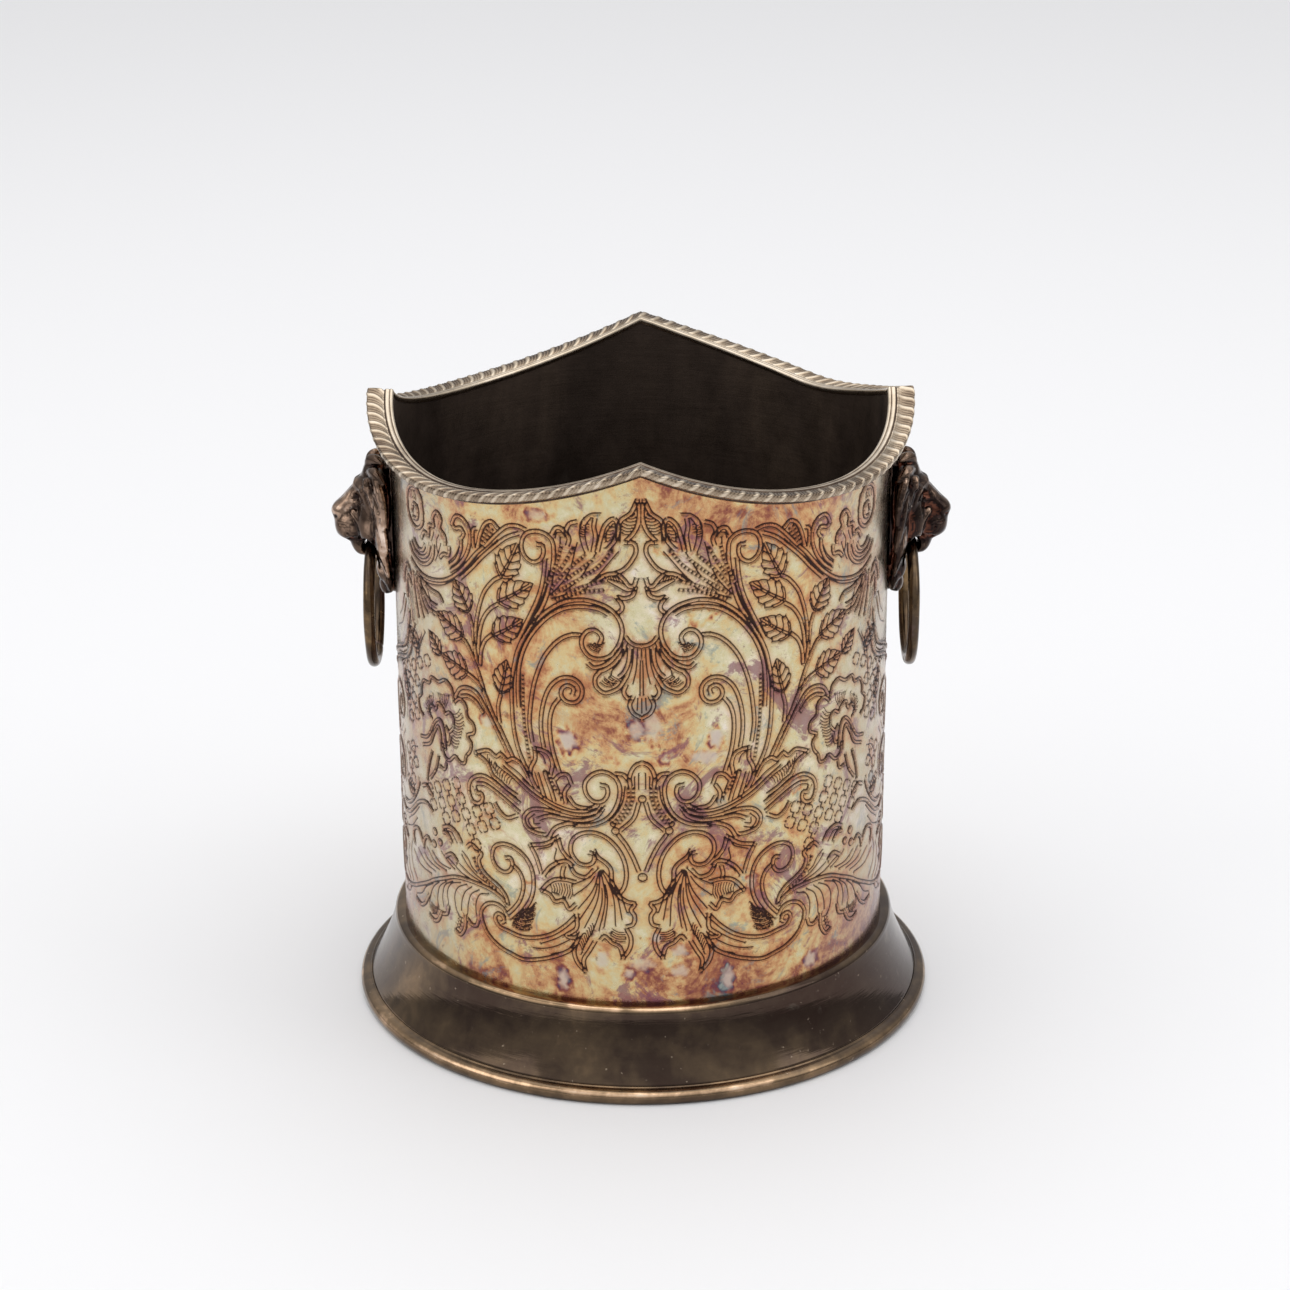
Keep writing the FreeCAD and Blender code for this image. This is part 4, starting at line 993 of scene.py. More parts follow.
def make_wall(relief):
    flat, triangles = quarter_skin(relief)
    height, cut, near = relief.sample(flat)
    common = edge_height(flat[:, 0] / QUARTER * 90)
    points = []
    faces = []
    values = []
    count = 0
    for quarter in range(4):
        mirrored = quarter % 2 == 1
        share = flat[:, 0] / QUARTER * 90
        angle = 90 * quarter + (90 - share if mirrored else share)
        edge = edge_height(angle)
        up = flat[:, 1].copy()
        high = up > TOP_BLEND
        stretch = (edge - TOP_BLEND) / (common - TOP_BLEND)
        up[high] = TOP_BLEND + (up[high] - TOP_BLEND) * stretch[high]
        fade = np.clip((up - WALL_FOOT) / 2, 0, 1) * np.clip((edge - up) / 3, 0, 1)
        points.append(wrapped(WALL_RADIUS + height * fade, angle, up))
        # triangles come out anticlockwise seen from outside, and turn over when mirrored
        faces.append(triangles[:, ::-1] + count if mirrored else triangles + count)
        values.append(np.stack([cut * fade, near * fade, np.zeros(len(flat))], 1))
        count += len(flat)
    outer_faces = sum(len(part) for part in faces)
    angle = np.arange(4 * COLUMNS) * 90 / COLUMNS
    rows = INNER_ROWS[:, None]
    up = WALL_FOOT + rows * (edge_height(angle) - WALL_FOOT)
    inner = wrapped(WALL_RADIUS - SHEET, angle[None], up)
    points.append(inner.reshape(-1, 3))
    values.append(np.tile([0.0, 0.0, 1.0], (inner[..., 0].size, 1)))
    skin = np.array(grid_faces(len(INNER_ROWS), 4 * COLUMNS, wrap_columns=True))[:, ::-1] + count
    size = 4 * COLUMNS
    # the outer skin's first two runs of points are its lower and upper edges
    rims = []
    for station in range(size):
        after = (station + 1) % size
        low_pair = [outer_edge(station, 0, len(flat)), outer_edge(after, 0, len(flat))]
        high_pair = [outer_edge(station, 1, len(flat)), outer_edge(after, 1, len(flat))]
        inner_low = [count + station, count + after]
        inner_high = [count + (len(INNER_ROWS) - 1) * size + station,
                      count + (len(INNER_ROWS) - 1) * size + after]
        rims.append((inner_low[0], inner_low[1], low_pair[1], low_pair[0]))
        rims.append((high_pair[0], high_pair[1], inner_high[1], inner_high[0]))
    everything = [tuple(face) for part in faces for face in part.tolist()]
    everything += [tuple(face) for face in skin.tolist()] + rims
    piece = make_mesh("wall", np.vstack(points), everything)
    values = np.vstack(values)
    add_value(piece, "groove", values[:, 0])
    add_value(piece, "near", values[:, 1])
    add_value(piece, "inside", values[:, 2])
    place = np.vstack(points)
    turn = np.arctan2(place[:, 0], -place[:, 1]) * WALL_RADIUS
    bare = np.zeros(len(place))
    ring = np.zeros(len(place))
    wobble = 1 + 0.16 * np.sin(turn * 2.3 + place[:, 2] * 1.1) + 0.1 * np.sin(place[:, 2] * 3.7)
    for across, up, wide, tall, paleness, darkness in SPOTS:
        gap = np.hypot((turn - across) / wide, (place[:, 2] - up) / tall) * wobble
        bare = np.maximum(bare, paleness * np.clip((1 - gap) * 3, 0, 1))
        ring = np.maximum(ring, darkness * np.clip(1 - np.abs(gap - 1.05) / 0.4, 0, 1))
    outside = values[:, 2] < 0.5
    add_value(piece, "bare", bare * outside)
    add_value(piece, "ring", ring * outside)
    unrolled_map(piece, np.arange(len(everything)) >= outer_faces)
    work = bmesh.new()
    work.from_mesh(piece.data)
    work.faces.ensure_lookup_table()
    strips = list(work.faces)[-len(rims):]
    for face in strips:
        face.smooth = False
    bmesh.ops.remove_doubles(work, verts=work.verts, dist=0.00001)
    for edge in work.edges:
        edge.smooth = len({face.smooth for face in edge.link_faces}) == 1
    bmesh.ops.recalc_face_normals(work, faces=work.faces)
    work.to_mesh(piece.data)
    work.free()
    finished(piece, "bucket", wall_silver(), "body_wall")


def outer_edge(station, row, quarter_points):
    """Number of an outer edge point, by its station round the bucket; row 0 is the lower edge."""
    quarter, share = divmod(station, COLUMNS)
    if quarter % 2 == 1:
        share = COLUMNS - share
    return quarter * quarter_points + row * (COLUMNS + 1) + share


# ---- rim ----------------------------------------------------------------------------------------
LOBES = 29                   # in each quarter
RIM_STEPS = 580              # stations along each quarter
LOBE_DEPTH = 0.62
LOBE_SLANT = 1.15            # lobes that one rope turn covers across the band
RIM_QUARTERS = ("rim_mount_front_right", "rim_mount_back_right",
                "rim_mount_back_left", "rim_mount_front_left")
# section from the seat inside, over the lip and the band, to the fillet on the wall: distance
# out from the lip's inside, and height above the lip; the band's own points come between
LIP_SECTION = [(0, -1.8), (0, -0.9), (0, -0.42), (0.14, -0.2), (0.42, -0.04), (0.75, 0.0),
               (0.98, -0.1), (1.12, -0.2), (1.3, -0.06), (1.6, 0.0), (2.1, 0.0), (2.35, -0.08),
               (2.5, -0.24), (2.66, -0.34)]
BAND_POINTS = 22
UNDER_SECTION = [(7.1, -1.95), (6.0, -2.3), (4.6, -2.52), (3.5, -2.64), (3.62, -3.0),
                 (3.42, -3.45), (2.9, -3.8), (2.0, -3.95), (1.2, -4.0), (1.18, -1.8)]


def make_rim():
    material = tarnished("gadroon_silver", RIM_FILM, 0.29, 0.12, 0.10, 0.27, (30.0, 220.0),
                         "groove", 0.72)
    share = np.linspace(0, 1, BAND_POINTS)
    # the band rises to its crown, then rolls over the outer edge
    band_out = 2.78 + 5.27 * np.sin(np.clip(share * 1.14, 0, 1) * math.pi / 2) ** 1.15
    band_out -= 0.6 * np.clip(share - 0.88, 0, 1) / 0.12
    band_up = -0.35 + 0.9 * np.sin(math.pi * np.clip(share * 1.05, 0, 1)) ** 0.7
    band_up -= 1.6 * np.clip((share - 0.74) / 0.26, 0, 1) ** 1.5
    out = np.hstack([[p[0] for p in LIP_SECTION], band_out, [p[0] for p in UNDER_SECTION]])
    up = np.hstack([[p[1] for p in LIP_SECTION], band_up, [p[1] for p in UNDER_SECTION]])
    band = np.zeros(len(out))
    band[len(LIP_SECTION):len(LIP_SECTION) + BAND_POINTS] = share
    lobed = np.zeros(len(out))
    lobed[len(LIP_SECTION):len(LIP_SECTION) + BAND_POINTS] = np.sin(
        math.pi * (0.06 + 0.88 * share)) ** 0.5
    slope_out = np.gradient(out)
    slope_up = np.gradient(up)
    length = np.hypot(slope_out, slope_up)
    normal_out = -slope_up / length
    normal_up = slope_out / length
    turn = np.linspace(0, 90, RIM_STEPS + 1)
    rope = LOBES * turn[:, None] / 90 + LOBE_SLANT * (band + 0.12 * np.sin(2 * math.pi * band))
    phase = rope % 1
    bar = np.sin(math.pi * np.clip(phase / 0.5, 0, 1)) ** 0.55
    flute = 0.62 * np.sin(math.pi * (np.clip(phase - 0.5, 0, 1) / 0.25 % 1)) ** 0.7
    rise = np.where(phase < 0.5, bar, flute)
    sunk = (1 - rise) * lobed
    fold = np.array([0.0] * len(out))
    fold[6:8] = 0.7
    fold[11:14] = 0.8
    fold[-7:-4] = 0.9
    for quarter, node in enumerate(RIM_QUARTERS):
        angle = turn[:, None] + 90 * quarter
        level = edge_height(np.clip(angle, 90 * quarter + 0.01, 90 * quarter + 89.99)) + RIM_CAP
        radius = RIM_LIP_INSIDE + out - LOBE_DEPTH * sunk * normal_out
        height = level + up - LOBE_DEPTH * sunk * normal_up
        points = wrapped(radius, angle, height)
        count = len(out)
        faces = grid_faces(RIM_STEPS + 1, count, wrap_columns=True)
        faces.append(tuple(range(count)))
        faces.append(tuple(range(RIM_STEPS * count, (RIM_STEPS + 1) * count))[::-1])
        piece = make_mesh("gadroon_" + node[10:], points.reshape(-1, 3), faces)
        add_value(piece, "groove", np.clip(sunk + fold, 0, 1).ravel())
        turn_outwards(piece)
        finished(piece, "bucket", material, node)


# ---- foot ---------------------------------------------------------------------------------------
FLARE_POLES = [(0.0, 0.0), (0.19, 0.39), (0.63, 0.76), (1.0, 1.0)]
SHOULDER = (76.3, 23.8, 2.2)   # centre of its curve, out and up, and the curve's radius
FLANGE_RADIUS = 66.1           # inner edge of the foot, under the floor pan
SKIRT_RADIUS = 86.4
MOULDING_TOP = 4.8
SHOULDER_HIGHLIGHT_HEIGHT = 25.4    # a highlight is painted round the foot here, and round the wire
WIRE_HIGHLIGHT_HEIGHT = 3.4
TURNS = 288


def spun(name, section, material, node):
    """A closed section turned round Z."""
    section = np.array(section)
    angle = np.linspace(0, 360, TURNS, endpoint=False)
    points = wrapped(section[None, :, 0], angle[:, None], section[None, :, 1])
    faces = grid_faces(TURNS, len(section), wrap_rows=True, wrap_columns=True)
    piece = make_mesh(name, points.reshape(-1, 3), faces)
    turn_outwards(piece)
    # painted highlight: the film is thinned, and the colour made paler, in a band along the top of
    # the shoulder and another along the wire, stronger at some angles round the foot than at others;
    # it goes in as a negative 'groove' value
    shoulder_gap = (section[:, 1] - SHOULDER_HIGHLIGHT_HEIGHT) / 0.9
    wire_gap = (section[:, 1] - WIRE_HIGHLIGHT_HEIGHT) / 0.7
    brightened = np.exp(-shoulder_gap ** 2) * (section[:, 0] > WALL_RADIUS)
    brightened += np.exp(-wire_gap ** 2) * (section[:, 0] > FOOT_RADIUS - 1.2)
    turn = np.radians(angle)
    patchy = 0.55 + 0.25 * np.sin(3 * turn + 2.2) + 0.2 * np.sin(7 * turn + 0.6)
    add_value(piece, "groove", (-brightened[None] * patchy[:, None]).ravel())
    finished(piece, "bucket", material, node)


def flare_side(inset):
    """Shoulder and hollow flare, set in by a thickness."""
    bend = np.radians(np.linspace(90, 0, 13))
    radius = SHOULDER[2] - inset
    side = [(SHOULDER[0] + radius * math.cos(a), SHOULDER[1] + radius * math.sin(a)) for a in bend]
    start = np.array([SHOULDER[0] + SHOULDER[2], SHOULDER[1]])
    span = np.array([SKIRT_RADIUS - start[0], MOULDING_TOP - start[1]])
    poles = start + np.array(FLARE_POLES) * span
    t = np.linspace(0, 1, 33)[1:, None]
    line = ((1 - t) ** 3 * poles[0] + 3 * (1 - t) ** 2 * t * poles[1]
            + 3 * (1 - t) * t ** 2 * poles[2] + t ** 3 * poles[3])
    along = np.gradient(line, axis=0)
    along /= np.hypot(along[:, 0], along[:, 1])[:, None]
    line += np.stack([along[:, 1], -along[:, 0]], 1) * inset
    return side + [tuple(point) for point in line]


def make_foot():
    material = tarnished("foot_silver", FOOT_FILM_AND_HIGHLIGHT, 0.66, 0.26, 0.10, 0.10, (20.0, 110.0), "groove",
                         0.62)
    outer = flare_side(0.0)
    inner = flare_side(SHEET + 0.1)
    section = [(FLANGE_RADIUS, SHOULDER[1] + SHOULDER[2])] + outer + [(SKIRT_RADIUS, 2.5)]
    section += [(SKIRT_RADIUS, 0.3), (inner[-1][0], 0.3)] + inner[::-1]
    section += [(FLANGE_RADIUS, inner[0][1])]
    spun("foot", section, material, "foot_flare")
    inside = SKIRT_RADIUS + 0.03
    reach = FOOT_RADIUS - inside - 0.02
    section = [(inside, 0), (inside + 0.9, 0), (inside + 1.8, 0)]
    for degree in range(-50, 95, 12):
        turn = math.radians(degree)
        section.append((inside + 1.0 + (reach - 1.0) * math.cos(turn),
                        2.25 + 2.25 * math.sin(turn) * (0.98 if degree > 0 else 1.2)))
    section += [(inside + 0.5, 4.5), (inside + 0.42, 4.72), (inside, 4.8)]
    ring = tarnished("foot_wire_silver", FOOT_FILM_AND_HIGHLIGHT, 0.5, 0.2, 0.14, 0.16, (20.0, 110.0), "groove",
                     0.45)
    spun("foot_wire", section, ring, "foot_rim_moulding")


# ---- lion masks ---------------------------------------------------------------------------------
# Shapes are given as out from the wall, sideways and up from the middle of the mask. They are
# blended softly in a fine grid of boxes, and a skin is laid where the blend changes sign.
CELLS = 0.42                 # between the points of the grid
# mane locks, which flow back and down: points along each from its root
LOCKS = [
    [(7.2, 0.8, 19.0), (5.6, 2.6, 20.9), (3.0, 5.6, 20.9)],
    [(6.4, 4.4, 17.8), (4.4, 8.4, 18.2), (2.0, 11.0, 16.2)],
    [(5.6, 5.4, 18.4), (4.0, 9.8, 16.0), (2.4, 12.6, 10.4), (1.6, 13.8, 3.6)],
    [(5.0, 8.6, 13.6), (3.6, 11.6, 7.8), (2.4, 13.0, 0.8), (1.5, 13.4, -5.0)],
    [(4.6, 9.6, 6.0), (3.4, 11.4, -0.6), (2.4, 12.2, -6.8), (1.4, 11.6, -13.0)],
    [(4.2, 8.8, -2.2), (3.0, 9.8, -8.4), (2.0, 9.2, -14.0), (1.3, 7.2, -18.8)],
    [(3.4, 5.2, -9.4), (2.6, 5.7, -14.6), (1.5, 3.8, -20.2)],
    [(2.8, 0.6, -11.0), (2.4, 1.5, -15.6), (1.5, 0.6, -20.8)],
    [(7.8, 3.0, 14.9), (6.2, 7.2, 13.2), (4.8, 9.4, 8.0), (4.6, 9.2, 2.0)],
]
# lobes under the mane: middle and half sizes
MANE_LOBES = [((2.7, 9.4, -9.8), (2.4, 2.5, 5.6)), ((2.3, 5.0, -17.4), (2.3, 2.6, 3.5))]


class Sculpture:
    """A soft blend of round shapes on a grid, mirrored side to side."""

    def __init__(self, low, high):
        axes = [np.arange(low[i], high[i] + CELLS, CELLS) for i in range(3)]
        self.axes = axes
        self.out, self.side, self.up = np.meshgrid(*axes, indexing="ij")
        self.field = np.full(self.out.shape, 50.0)

    def ball(self, centre, radii):
        out = (self.out - centre[0]) / radii[0]
        side = (np.abs(self.side) - centre[1]) / radii[1]
        up = (self.up - centre[2]) / radii[2]
        return (np.sqrt(out ** 2 + side ** 2 + up ** 2) - 1) * min(radii)

    def rod(self, start, end, start_radius, end_radius):
        start = np.array(start, float)
        axis = np.array(end, float) - start
        out = self.out - start[0]
        side = np.abs(self.side) - start[1]
        up = self.up - start[2]
        share = (out * axis[0] + side * axis[1] + up * axis[2]) / (axis @ axis)
        share = np.clip(share, 0, 1)
        gap = np.sqrt((out - share * axis[0]) ** 2 + (side - share * axis[1]) ** 2
                      + (up - share * axis[2]) ** 2)
        return gap - (start_radius + share * (end_radius - start_radius))

    def add(self, shape, soft):
        share = np.clip(0.5 + 0.5 * (self.field - shape) / soft, 0, 1)
        self.field = self.field + (shape - self.field) * share - soft * share * (1 - share)

    def carve(self, shape, soft):
        share = np.clip(0.5 - 0.5 * (self.field + shape) / soft, 0, 1)
        self.field = self.field - (shape + self.field) * share + soft * share * (1 - share)

    def lock(self, points, radius, soft=0.5):
        path = curve3(points, 9)
        widths = radius * (0.3 + 0.7 * np.sin(math.pi * np.linspace(0.14, 0.96, len(path))))
        for index in range(len(path) - 1):
            rod = self.rod(path[index], path[index + 1], widths[index], widths[index + 1])
            self.add(rod, soft)

    def skin(self):
        """Points and quads where the field changes sign, one point to a box."""
        field = self.field
        solid = field < 0
        boxes = np.zeros([size - 1 for size in field.shape], int)
        total = np.zeros(boxes.shape + (3,))
        count = np.zeros(boxes.shape)
        corners = [(a, b, c) for a in (0, 1) for b in (0, 1) for c in (0, 1)]

        def part(grid, corner):
            return grid[corner[0]:grid.shape[0] - 1 + corner[0],
                        corner[1]:grid.shape[1] - 1 + corner[1],
                        corner[2]:grid.shape[2] - 1 + corner[2]]

        for corner in corners:
            for axis in range(3):
                if corner[axis] == 0:
                    other = list(corner)
                    other[axis] = 1
                    near, far = part(field, corner), part(field, other)
                    crosses = (near < 0) != (far < 0)
                    gap = np.where(crosses, near - far, 1)
                    share = near / gap
                    spot = np.broadcast_to(np.array(corner, float), boxes.shape + (3,)).copy()
                    spot[..., axis] += share
                    total += spot * crosses[..., None]
                    count += crosses
        used = count > 0
        boxes[used] = np.arange(used.sum())
        place = np.argwhere(used) + total[used] / count[used][:, None]
        low = [axis[0] for axis in self.axes]
        points = place * CELLS + low
        faces = []
        for axis in range(3):
            first, second = [i for i in range(3) if i != axis]
            ahead = np.roll(solid, -1, axis)
            change = solid != ahead
            index = np.argwhere(change)
            size = np.array(field.shape)
            fine = (index[:, axis] < size[axis] - 1) & (index[:, first] > 0)
            fine &= (index[:, second] > 0) & (index[:, first] < size[first] - 1)
            fine &= index[:, second] < size[second] - 1
            index = index[fine]
            quads = []
            for step_a, step_b in ((0, 0), (1, 0), (1, 1), (0, 1)):
                box = index.copy()
                box[:, first] -= step_a
                box[:, second] -= step_b
                quads.append(boxes[box[:, 0], box[:, 1], box[:, 2]])
            faces.append(np.stack(quads, 1))
        return points, np.vstack(faces)


def curve3(points, count):
    """A smooth path through points in space."""
    knots = np.array(points, float)
    padded = np.vstack([2 * knots[0] - knots[1], knots, 2 * knots[-1] - knots[-2]])
    path = []
    for place in np.linspace(0, len(knots) - 1.001, count):
        index = int(place)
        a, b, c, d = padded[index:index + 4]
        t = place - index
        path.append(0.5 * (2 * b + (c - a) * t + (2 * a - 5 * b + 4 * c - d) * t ** 2
                           + (3 * b - a - 3 * c + d) * t ** 3))
    return path


def sculpt_mask():
    work = Sculpture((-0.8, -18.4, -24.0), (19.8, 18.4, 24.0))
    work.add(work.ball((-1.0, 0, 1), (5.2, 14.6, 19.5)), 0.5)
    work.add(work.ball((0.5, 0, -12.5), (4.0, 8.0, 9.0)), 1.5)
    work.add(work.ball((4.4, 0, 8.0), (6.6, 9.6, 11.5)), 2.0)
    work.add(work.ball((5.4, 1.6, 16.6), (3.3, 3.6, 3.8)), 1.4)
    work.add(work.ball((5.6, 6.6, 1.6), (4.8, 4.2, 6.8)), 1.8)
    work.add(work.rod((8.0, 1.2, 11.6), (15.0, 1.0, 4.6), 3.5, 3.1), 1.8)
    work.add(work.ball((12.4, 1.9, 0.2), (5.3, 4.4, 4.9)), 1.4)
    work.add(work.rod((14.9, 0, 4.4), (14.8, 0, -1.6), 3.4, 2.9), 1.0)
    work.add(work.ball((10.2, 0, -5.4), (3.2, 4.4, 3.0)), 1.4)
    work.add(work.rod((5.0, 3.2, -6.5), (9.5, 2.4, -6.6), 3.3, 2.6), 1.2)
    work.add(work.ball((15.9, 0, 4.3), (2.9, 3.6, 2.4)), 0.9)
    work.carve(work.ball((11.2, 5.4, 9.6), (2.4, 2.3, 1.7)), 0.8)
    work.add(work.ball((8.4, 5.0, 9.4), (1.7, 1.7, 1.4)), 0.3)
    work.add(work.rod((10.4, 1.2, 13.2), (8.4, 6.8, 12.0), 1.5, 1.1), 0.9)
    work.add(work.rod((8.4, 6.8, 12.0), (5.8, 9.4, 7.0), 1.1, 1.0), 0.9)
    work.add(work.rod((10.4, 3.6, 10.9), (8.6, 6.9, 10.1), 0.5, 0.4), 0.4)
    work.add(work.rod((10.6, 3.6, 7.9), (8.2, 7.0, 7.6), 0.7, 0.6), 0.5)
    work.add(work.rod((11.6, 5.2, 5.0), (8.2, 8.2, 0.6), 1.1, 1.0), 0.9)
    work.add(work.rod((8.2, 8.2, 0.6), (7.6, 6.8, -5.2), 1.0, 0.9), 0.9)
    work.carve(work.rod((18.4, 1.5, 3.0), (16.8, 2.9, 3.4), 0.55, 0.5), 0.5)
    work.carve(work.rod((18.3, 0, 1.6), (17.4, 0, -2.6), 0.4, 0.3), 0.5)
    work.carve(work.rod((17.6, 0, -3.6), (10.6, 6.4, -3.0), 0.5, 0.5), 0.7)
    for row in range(3):
        start = (16.0 - 0.6 * row, 4.6, 1.2 - 1.2 * row)
        work.carve(work.rod(start, (12.4, 6.6, 0.8 - 1.2 * row), 0.25, 0.2), 0.4)
    for points in LOCKS:
        for strand in (-1, 0, 1):
            shifted = [(a - 0.45 * abs(strand) + 0.15 * strand, b + 1.25 * strand * min(b / 4, 1), c)
                       for a, b, c in points]
            work.lock(shifted, 1.45 if strand else 1.75, 0.22)
    # two leaf-like lobes hang under the mane at each side
    for middle, half in MANE_LOBES:
        work.add(work.ball(middle, half), 0.2)
    # ears
    work.add(work.ball((7.0, 8.4, 14.6), (1.8, 2.2, 2.5)), 0.5)
    work.carve(work.ball((8.6, 8.6, 14.5), (1.3, 1.2, 1.5)), 0.4)
    # room for the ring at every angle it swings to, and for the wall behind
    for degree in RING_SWEEP:
        turn = math.radians(degree)
        out = work.out - (PIVOT[0] - WALL_RADIUS)
        up = work.up - (PIVOT[2] - MASK_Z)
        flat_out = out * math.cos(turn) + up * math.sin(turn)
        flat_up = -out * math.sin(turn) + up * math.cos(turn) + RING_RADIUS
        gap = np.hypot(np.hypot(work.side, flat_up) - RING_RADIUS, flat_out)
        work.field = np.maximum(work.field, RING_ROOM - gap)
    radius = np.hypot(work.out + WALL_RADIUS, work.side)
    work.field = np.maximum(work.field, WALL_RADIUS + 0.05 - radius)
    points, faces = work.skin()
    # the field's own slope says how hollow a place is: grooves gather tarnish and get painted shade
    # on top of it, highs wear bright and get a painted highlight on top of it
    soft = blurred3(work.field, 3)
    place = np.round((points - [axis[0] for axis in work.axes]) / CELLS).astype(int)
    place = np.minimum(place, np.array(work.field.shape) - 1)
    hollow = -soft[place[:, 0], place[:, 1], place[:, 2]]
    return points, faces, np.clip(0.5 + hollow * 1.1, 0, 1)


def blurred3(field, cells):
    """A grid softened by running means along its three directions."""
    for axis in (0, 1, 2, 0, 1, 2):
        padding = [(0, 0), (0, 0), (0, 0)]
        padding[axis] = (cells, cells)
        total = np.cumsum(np.pad(field, padding, mode="edge"), axis=axis)
        size = field.shape[axis]
        ahead = np.take(total, range(2 * cells, size + 2 * cells), axis=axis)
        field = (ahead - np.take(total, range(size), axis=axis)) / (2 * cells)
    return field


def make_masks():
    points, faces, hollow = sculpt_mask()
    material = tarnished("mask_silver", MASK_FILM_AND_SHADING, 0.2, 0.24, 0.06, 0.14, (70.0, 300.0),
                         "groove", 0.95)
    for side, sign in (("right", 1), ("left", -1)):
        place = np.stack([sign * (points[:, 0] + WALL_RADIUS), sign * points[:, 1],
                          points[:, 2] + MASK_Z], 1)
        piece = make_mesh("lion_" + side, place, faces.tolist())
        add_value(piece, "groove", hollow)
        turn_outwards(piece, 2)
        finished(piece, "bucket", material, "lion_mask_" + side)


# ---- rings --------------------------------------------------------------------------------------
RING_RADIUS = 18.8
WIRE = 1.75
RING_ROOM = 2.0              # half-width of the way kept free for the ring
RING_SWEEP = range(-8, 145, 4)   # degrees, a little past both of the joint's limits


def make_rings():
    material = tarnished("ring_silver", RING_FILM, 0.68, 0.2, 0.14, 0.2, (90.0, 500.0),
                         "groove", 0.4)
    steps, around = 220, 28
    turn = np.linspace(0, 2 * math.pi, steps, endpoint=False)
    round_wire = np.linspace(0, 2 * math.pi, around, endpoint=False)
    # hand-drawn wire is never quite even, and its soldered joint shows as a shallow waist
    wire = WIRE - 0.04 - 0.03 * np.sin(3 * turn + 1) - 0.02 * np.sin(7 * turn)
    joint = np.exp(-((turn - 3.5) / 0.035) ** 2)
    wire -= 0.16 * joint
    for side, sign in (("right", 1), ("left", -1)):
        radius = RING_RADIUS + wire[:, None] * np.cos(round_wire)[None]
        across = radius * np.sin(turn)[:, None]
        up = PIVOT[2] - RING_RADIUS + radius * np.cos(turn)[:, None]
        out = PIVOT[0] + wire[:, None] * np.sin(round_wire)[None]
        points = np.stack([sign * out, sign * across, up], -1).reshape(-1, 3)
        faces = grid_faces(steps, around, wrap_rows=True, wrap_columns=True)
        piece = make_mesh("ring_wire_" + side, points, faces)
        add_value(piece, "groove", np.repeat(joint, around))
        turn_outwards(piece)
        finished(piece, "ring_" + side, material, "handle_ring_" + side)


# ---- floor pan and fixings ----------------------------------------------------------------------
def coat_hidden_nodes():
    """The CAD pan, studs, washers and nuts keep their shapes and get tarnished, scratched metal."""
    inside = tarnished("pan_silver", INSIDE_FILM, 0.45, 0.22, 0.12, 0.3, (24.0, 160.0))
    brass = tarnished("fixing_brass", BRASS_FILM, 0.72, 0.2, 0.15, 0.32, (120.0, 600.0))
    for name, node in frame["nodes"].items():
        if name == "bucket_floor" or name.startswith(("mask_stud", "mask_washer", "mask_nut")):
            metal = inside if name == "bucket_floor" else brass
            node.data.materials.clear()
            node.data.materials.append(metal)


# ---- camera, light and floor --------------------------------------------------------------------
CAMERA_DISTANCE = 960.0      # millimetres from the point looked at
CAMERA_PITCH = 20.6          # degrees below level
LOOK_HEIGHT = 111.0
LENS = 86.95                 # for a 36 mm sensor
ROOM_LIGHT = 0.9


def make_camera():
    pitch = math.radians(CAMERA_PITCH)
    data = bpy.data.cameras.new("camera")
    data.lens = LENS
    data.sensor_width = 36.0
    camera = bpy.data.objects.new("camera", data)
    bpy.context.collection.objects.link(camera)
    camera.location = (0.0010, -CAMERA_DISTANCE * math.cos(pitch) * MM,
                       (LOOK_HEIGHT + CAMERA_DISTANCE * math.sin(pitch)) * MM)
    camera.rotation_euler = (math.radians(90 - CAMERA_PITCH), 0, 0)
    camera.rotation_euler.rotate_axis("Z", math.radians(-0.26))
    bpy.context.scene.camera = camera


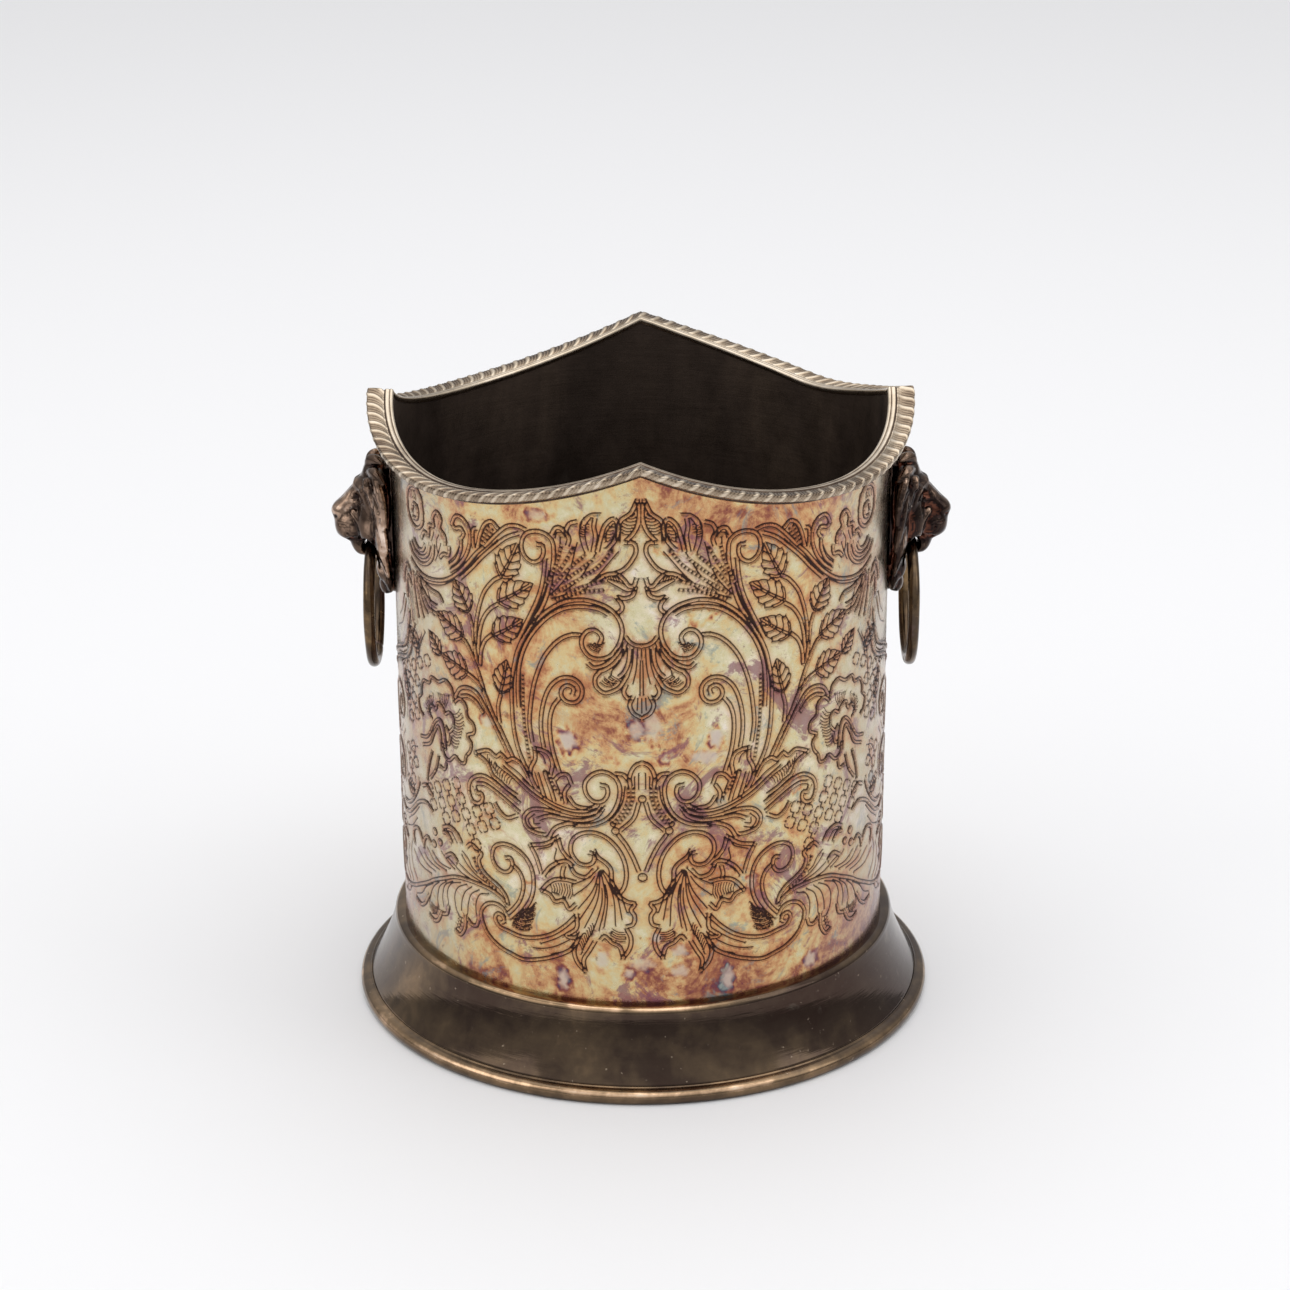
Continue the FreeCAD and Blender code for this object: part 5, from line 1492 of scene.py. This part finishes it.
def area_light(name, place, target, size, power, colour=(1, 1, 1)):
    data = bpy.data.lights.new(name, "AREA")
    data.shape = "RECTANGLE"
    data.size, data.size_y = size
    data.energy = power
    data.color = colour
    light = bpy.data.objects.new(name, data)
    bpy.context.collection.objects.link(light)
    light.location = place
    light.rotation_euler = (Vector(target) - Vector(place)).to_track_quat("-Z", "Y").to_euler()


def make_studio():
    scene = bpy.context.scene
    scene.view_settings.view_transform = "Standard"
    world = bpy.data.worlds.new("studio")
    scene.world = world
    world.use_nodes = True
    tree = world.node_tree
    # a room with a bright ceiling and dimmer walls, so that the relief has something to mirror
    split = tree.nodes.new("ShaderNodeSeparateXYZ")
    place = tree.nodes.new("ShaderNodeTexCoord")
    tree.links.new(place.outputs["Generated"], split.inputs[0])
    room = tree.nodes.new("ShaderNodeValToRGB")
    room.color_ramp.elements[0].position = 0.0
    room.color_ramp.elements[0].color = (0.38, 0.38, 0.385, 1)
    room.color_ramp.elements[1].position = 0.75
    room.color_ramp.elements[1].color = (1.0, 1.0, 1.0, 1)
    wall = room.color_ramp.elements.new(0.28)
    wall.color = (0.60, 0.60, 0.605, 1)
    tree.links.new(split.outputs[2], room.inputs["Fac"])
    background = tree.nodes["Background"]
    background.inputs["Strength"].default_value = ROOM_LIGHT
    tree.links.new(room.outputs["Color"], background.inputs["Color"])
    area_light("top_soft", (0.1, 0.1, 1.7), (0, 0, 0.1), (2.2, 1.8), 10.5)
    area_light("left_soft", (-1.3, -0.6, 1.1), (0, 0, 0.1), (1.2, 1.0), 3.2, (1.0, 0.985, 0.96))
    area_light("right_soft", (1.4, -0.5, 1.1), (0, 0, 0.1), (0.8, 1.0), 2.8, (0.96, 0.98, 1.0))
    floor = make_mesh("floor", [(-6000, -6000, 0), (6000, -6000, 0), (6000, 6000, 0),
                                (-6000, 6000, 0)], [(0, 1, 2, 3)])
    material = bpy.data.materials.new("pale_floor")
    material.use_nodes = True
    shader = material.node_tree.nodes["Principled BSDF"]
    shader.inputs["Base Color"].default_value = (0.88, 0.88, 0.895, 1)
    shader.inputs["Roughness"].default_value = 0.7
    shader.inputs["Specular IOR Level"].default_value = 0.2
    floor.data.materials.append(material)


make_camera()
make_studio()
make_wall(draw_ornament())
make_rim()
make_foot()
make_masks()
make_rings()
coat_hidden_nodes()
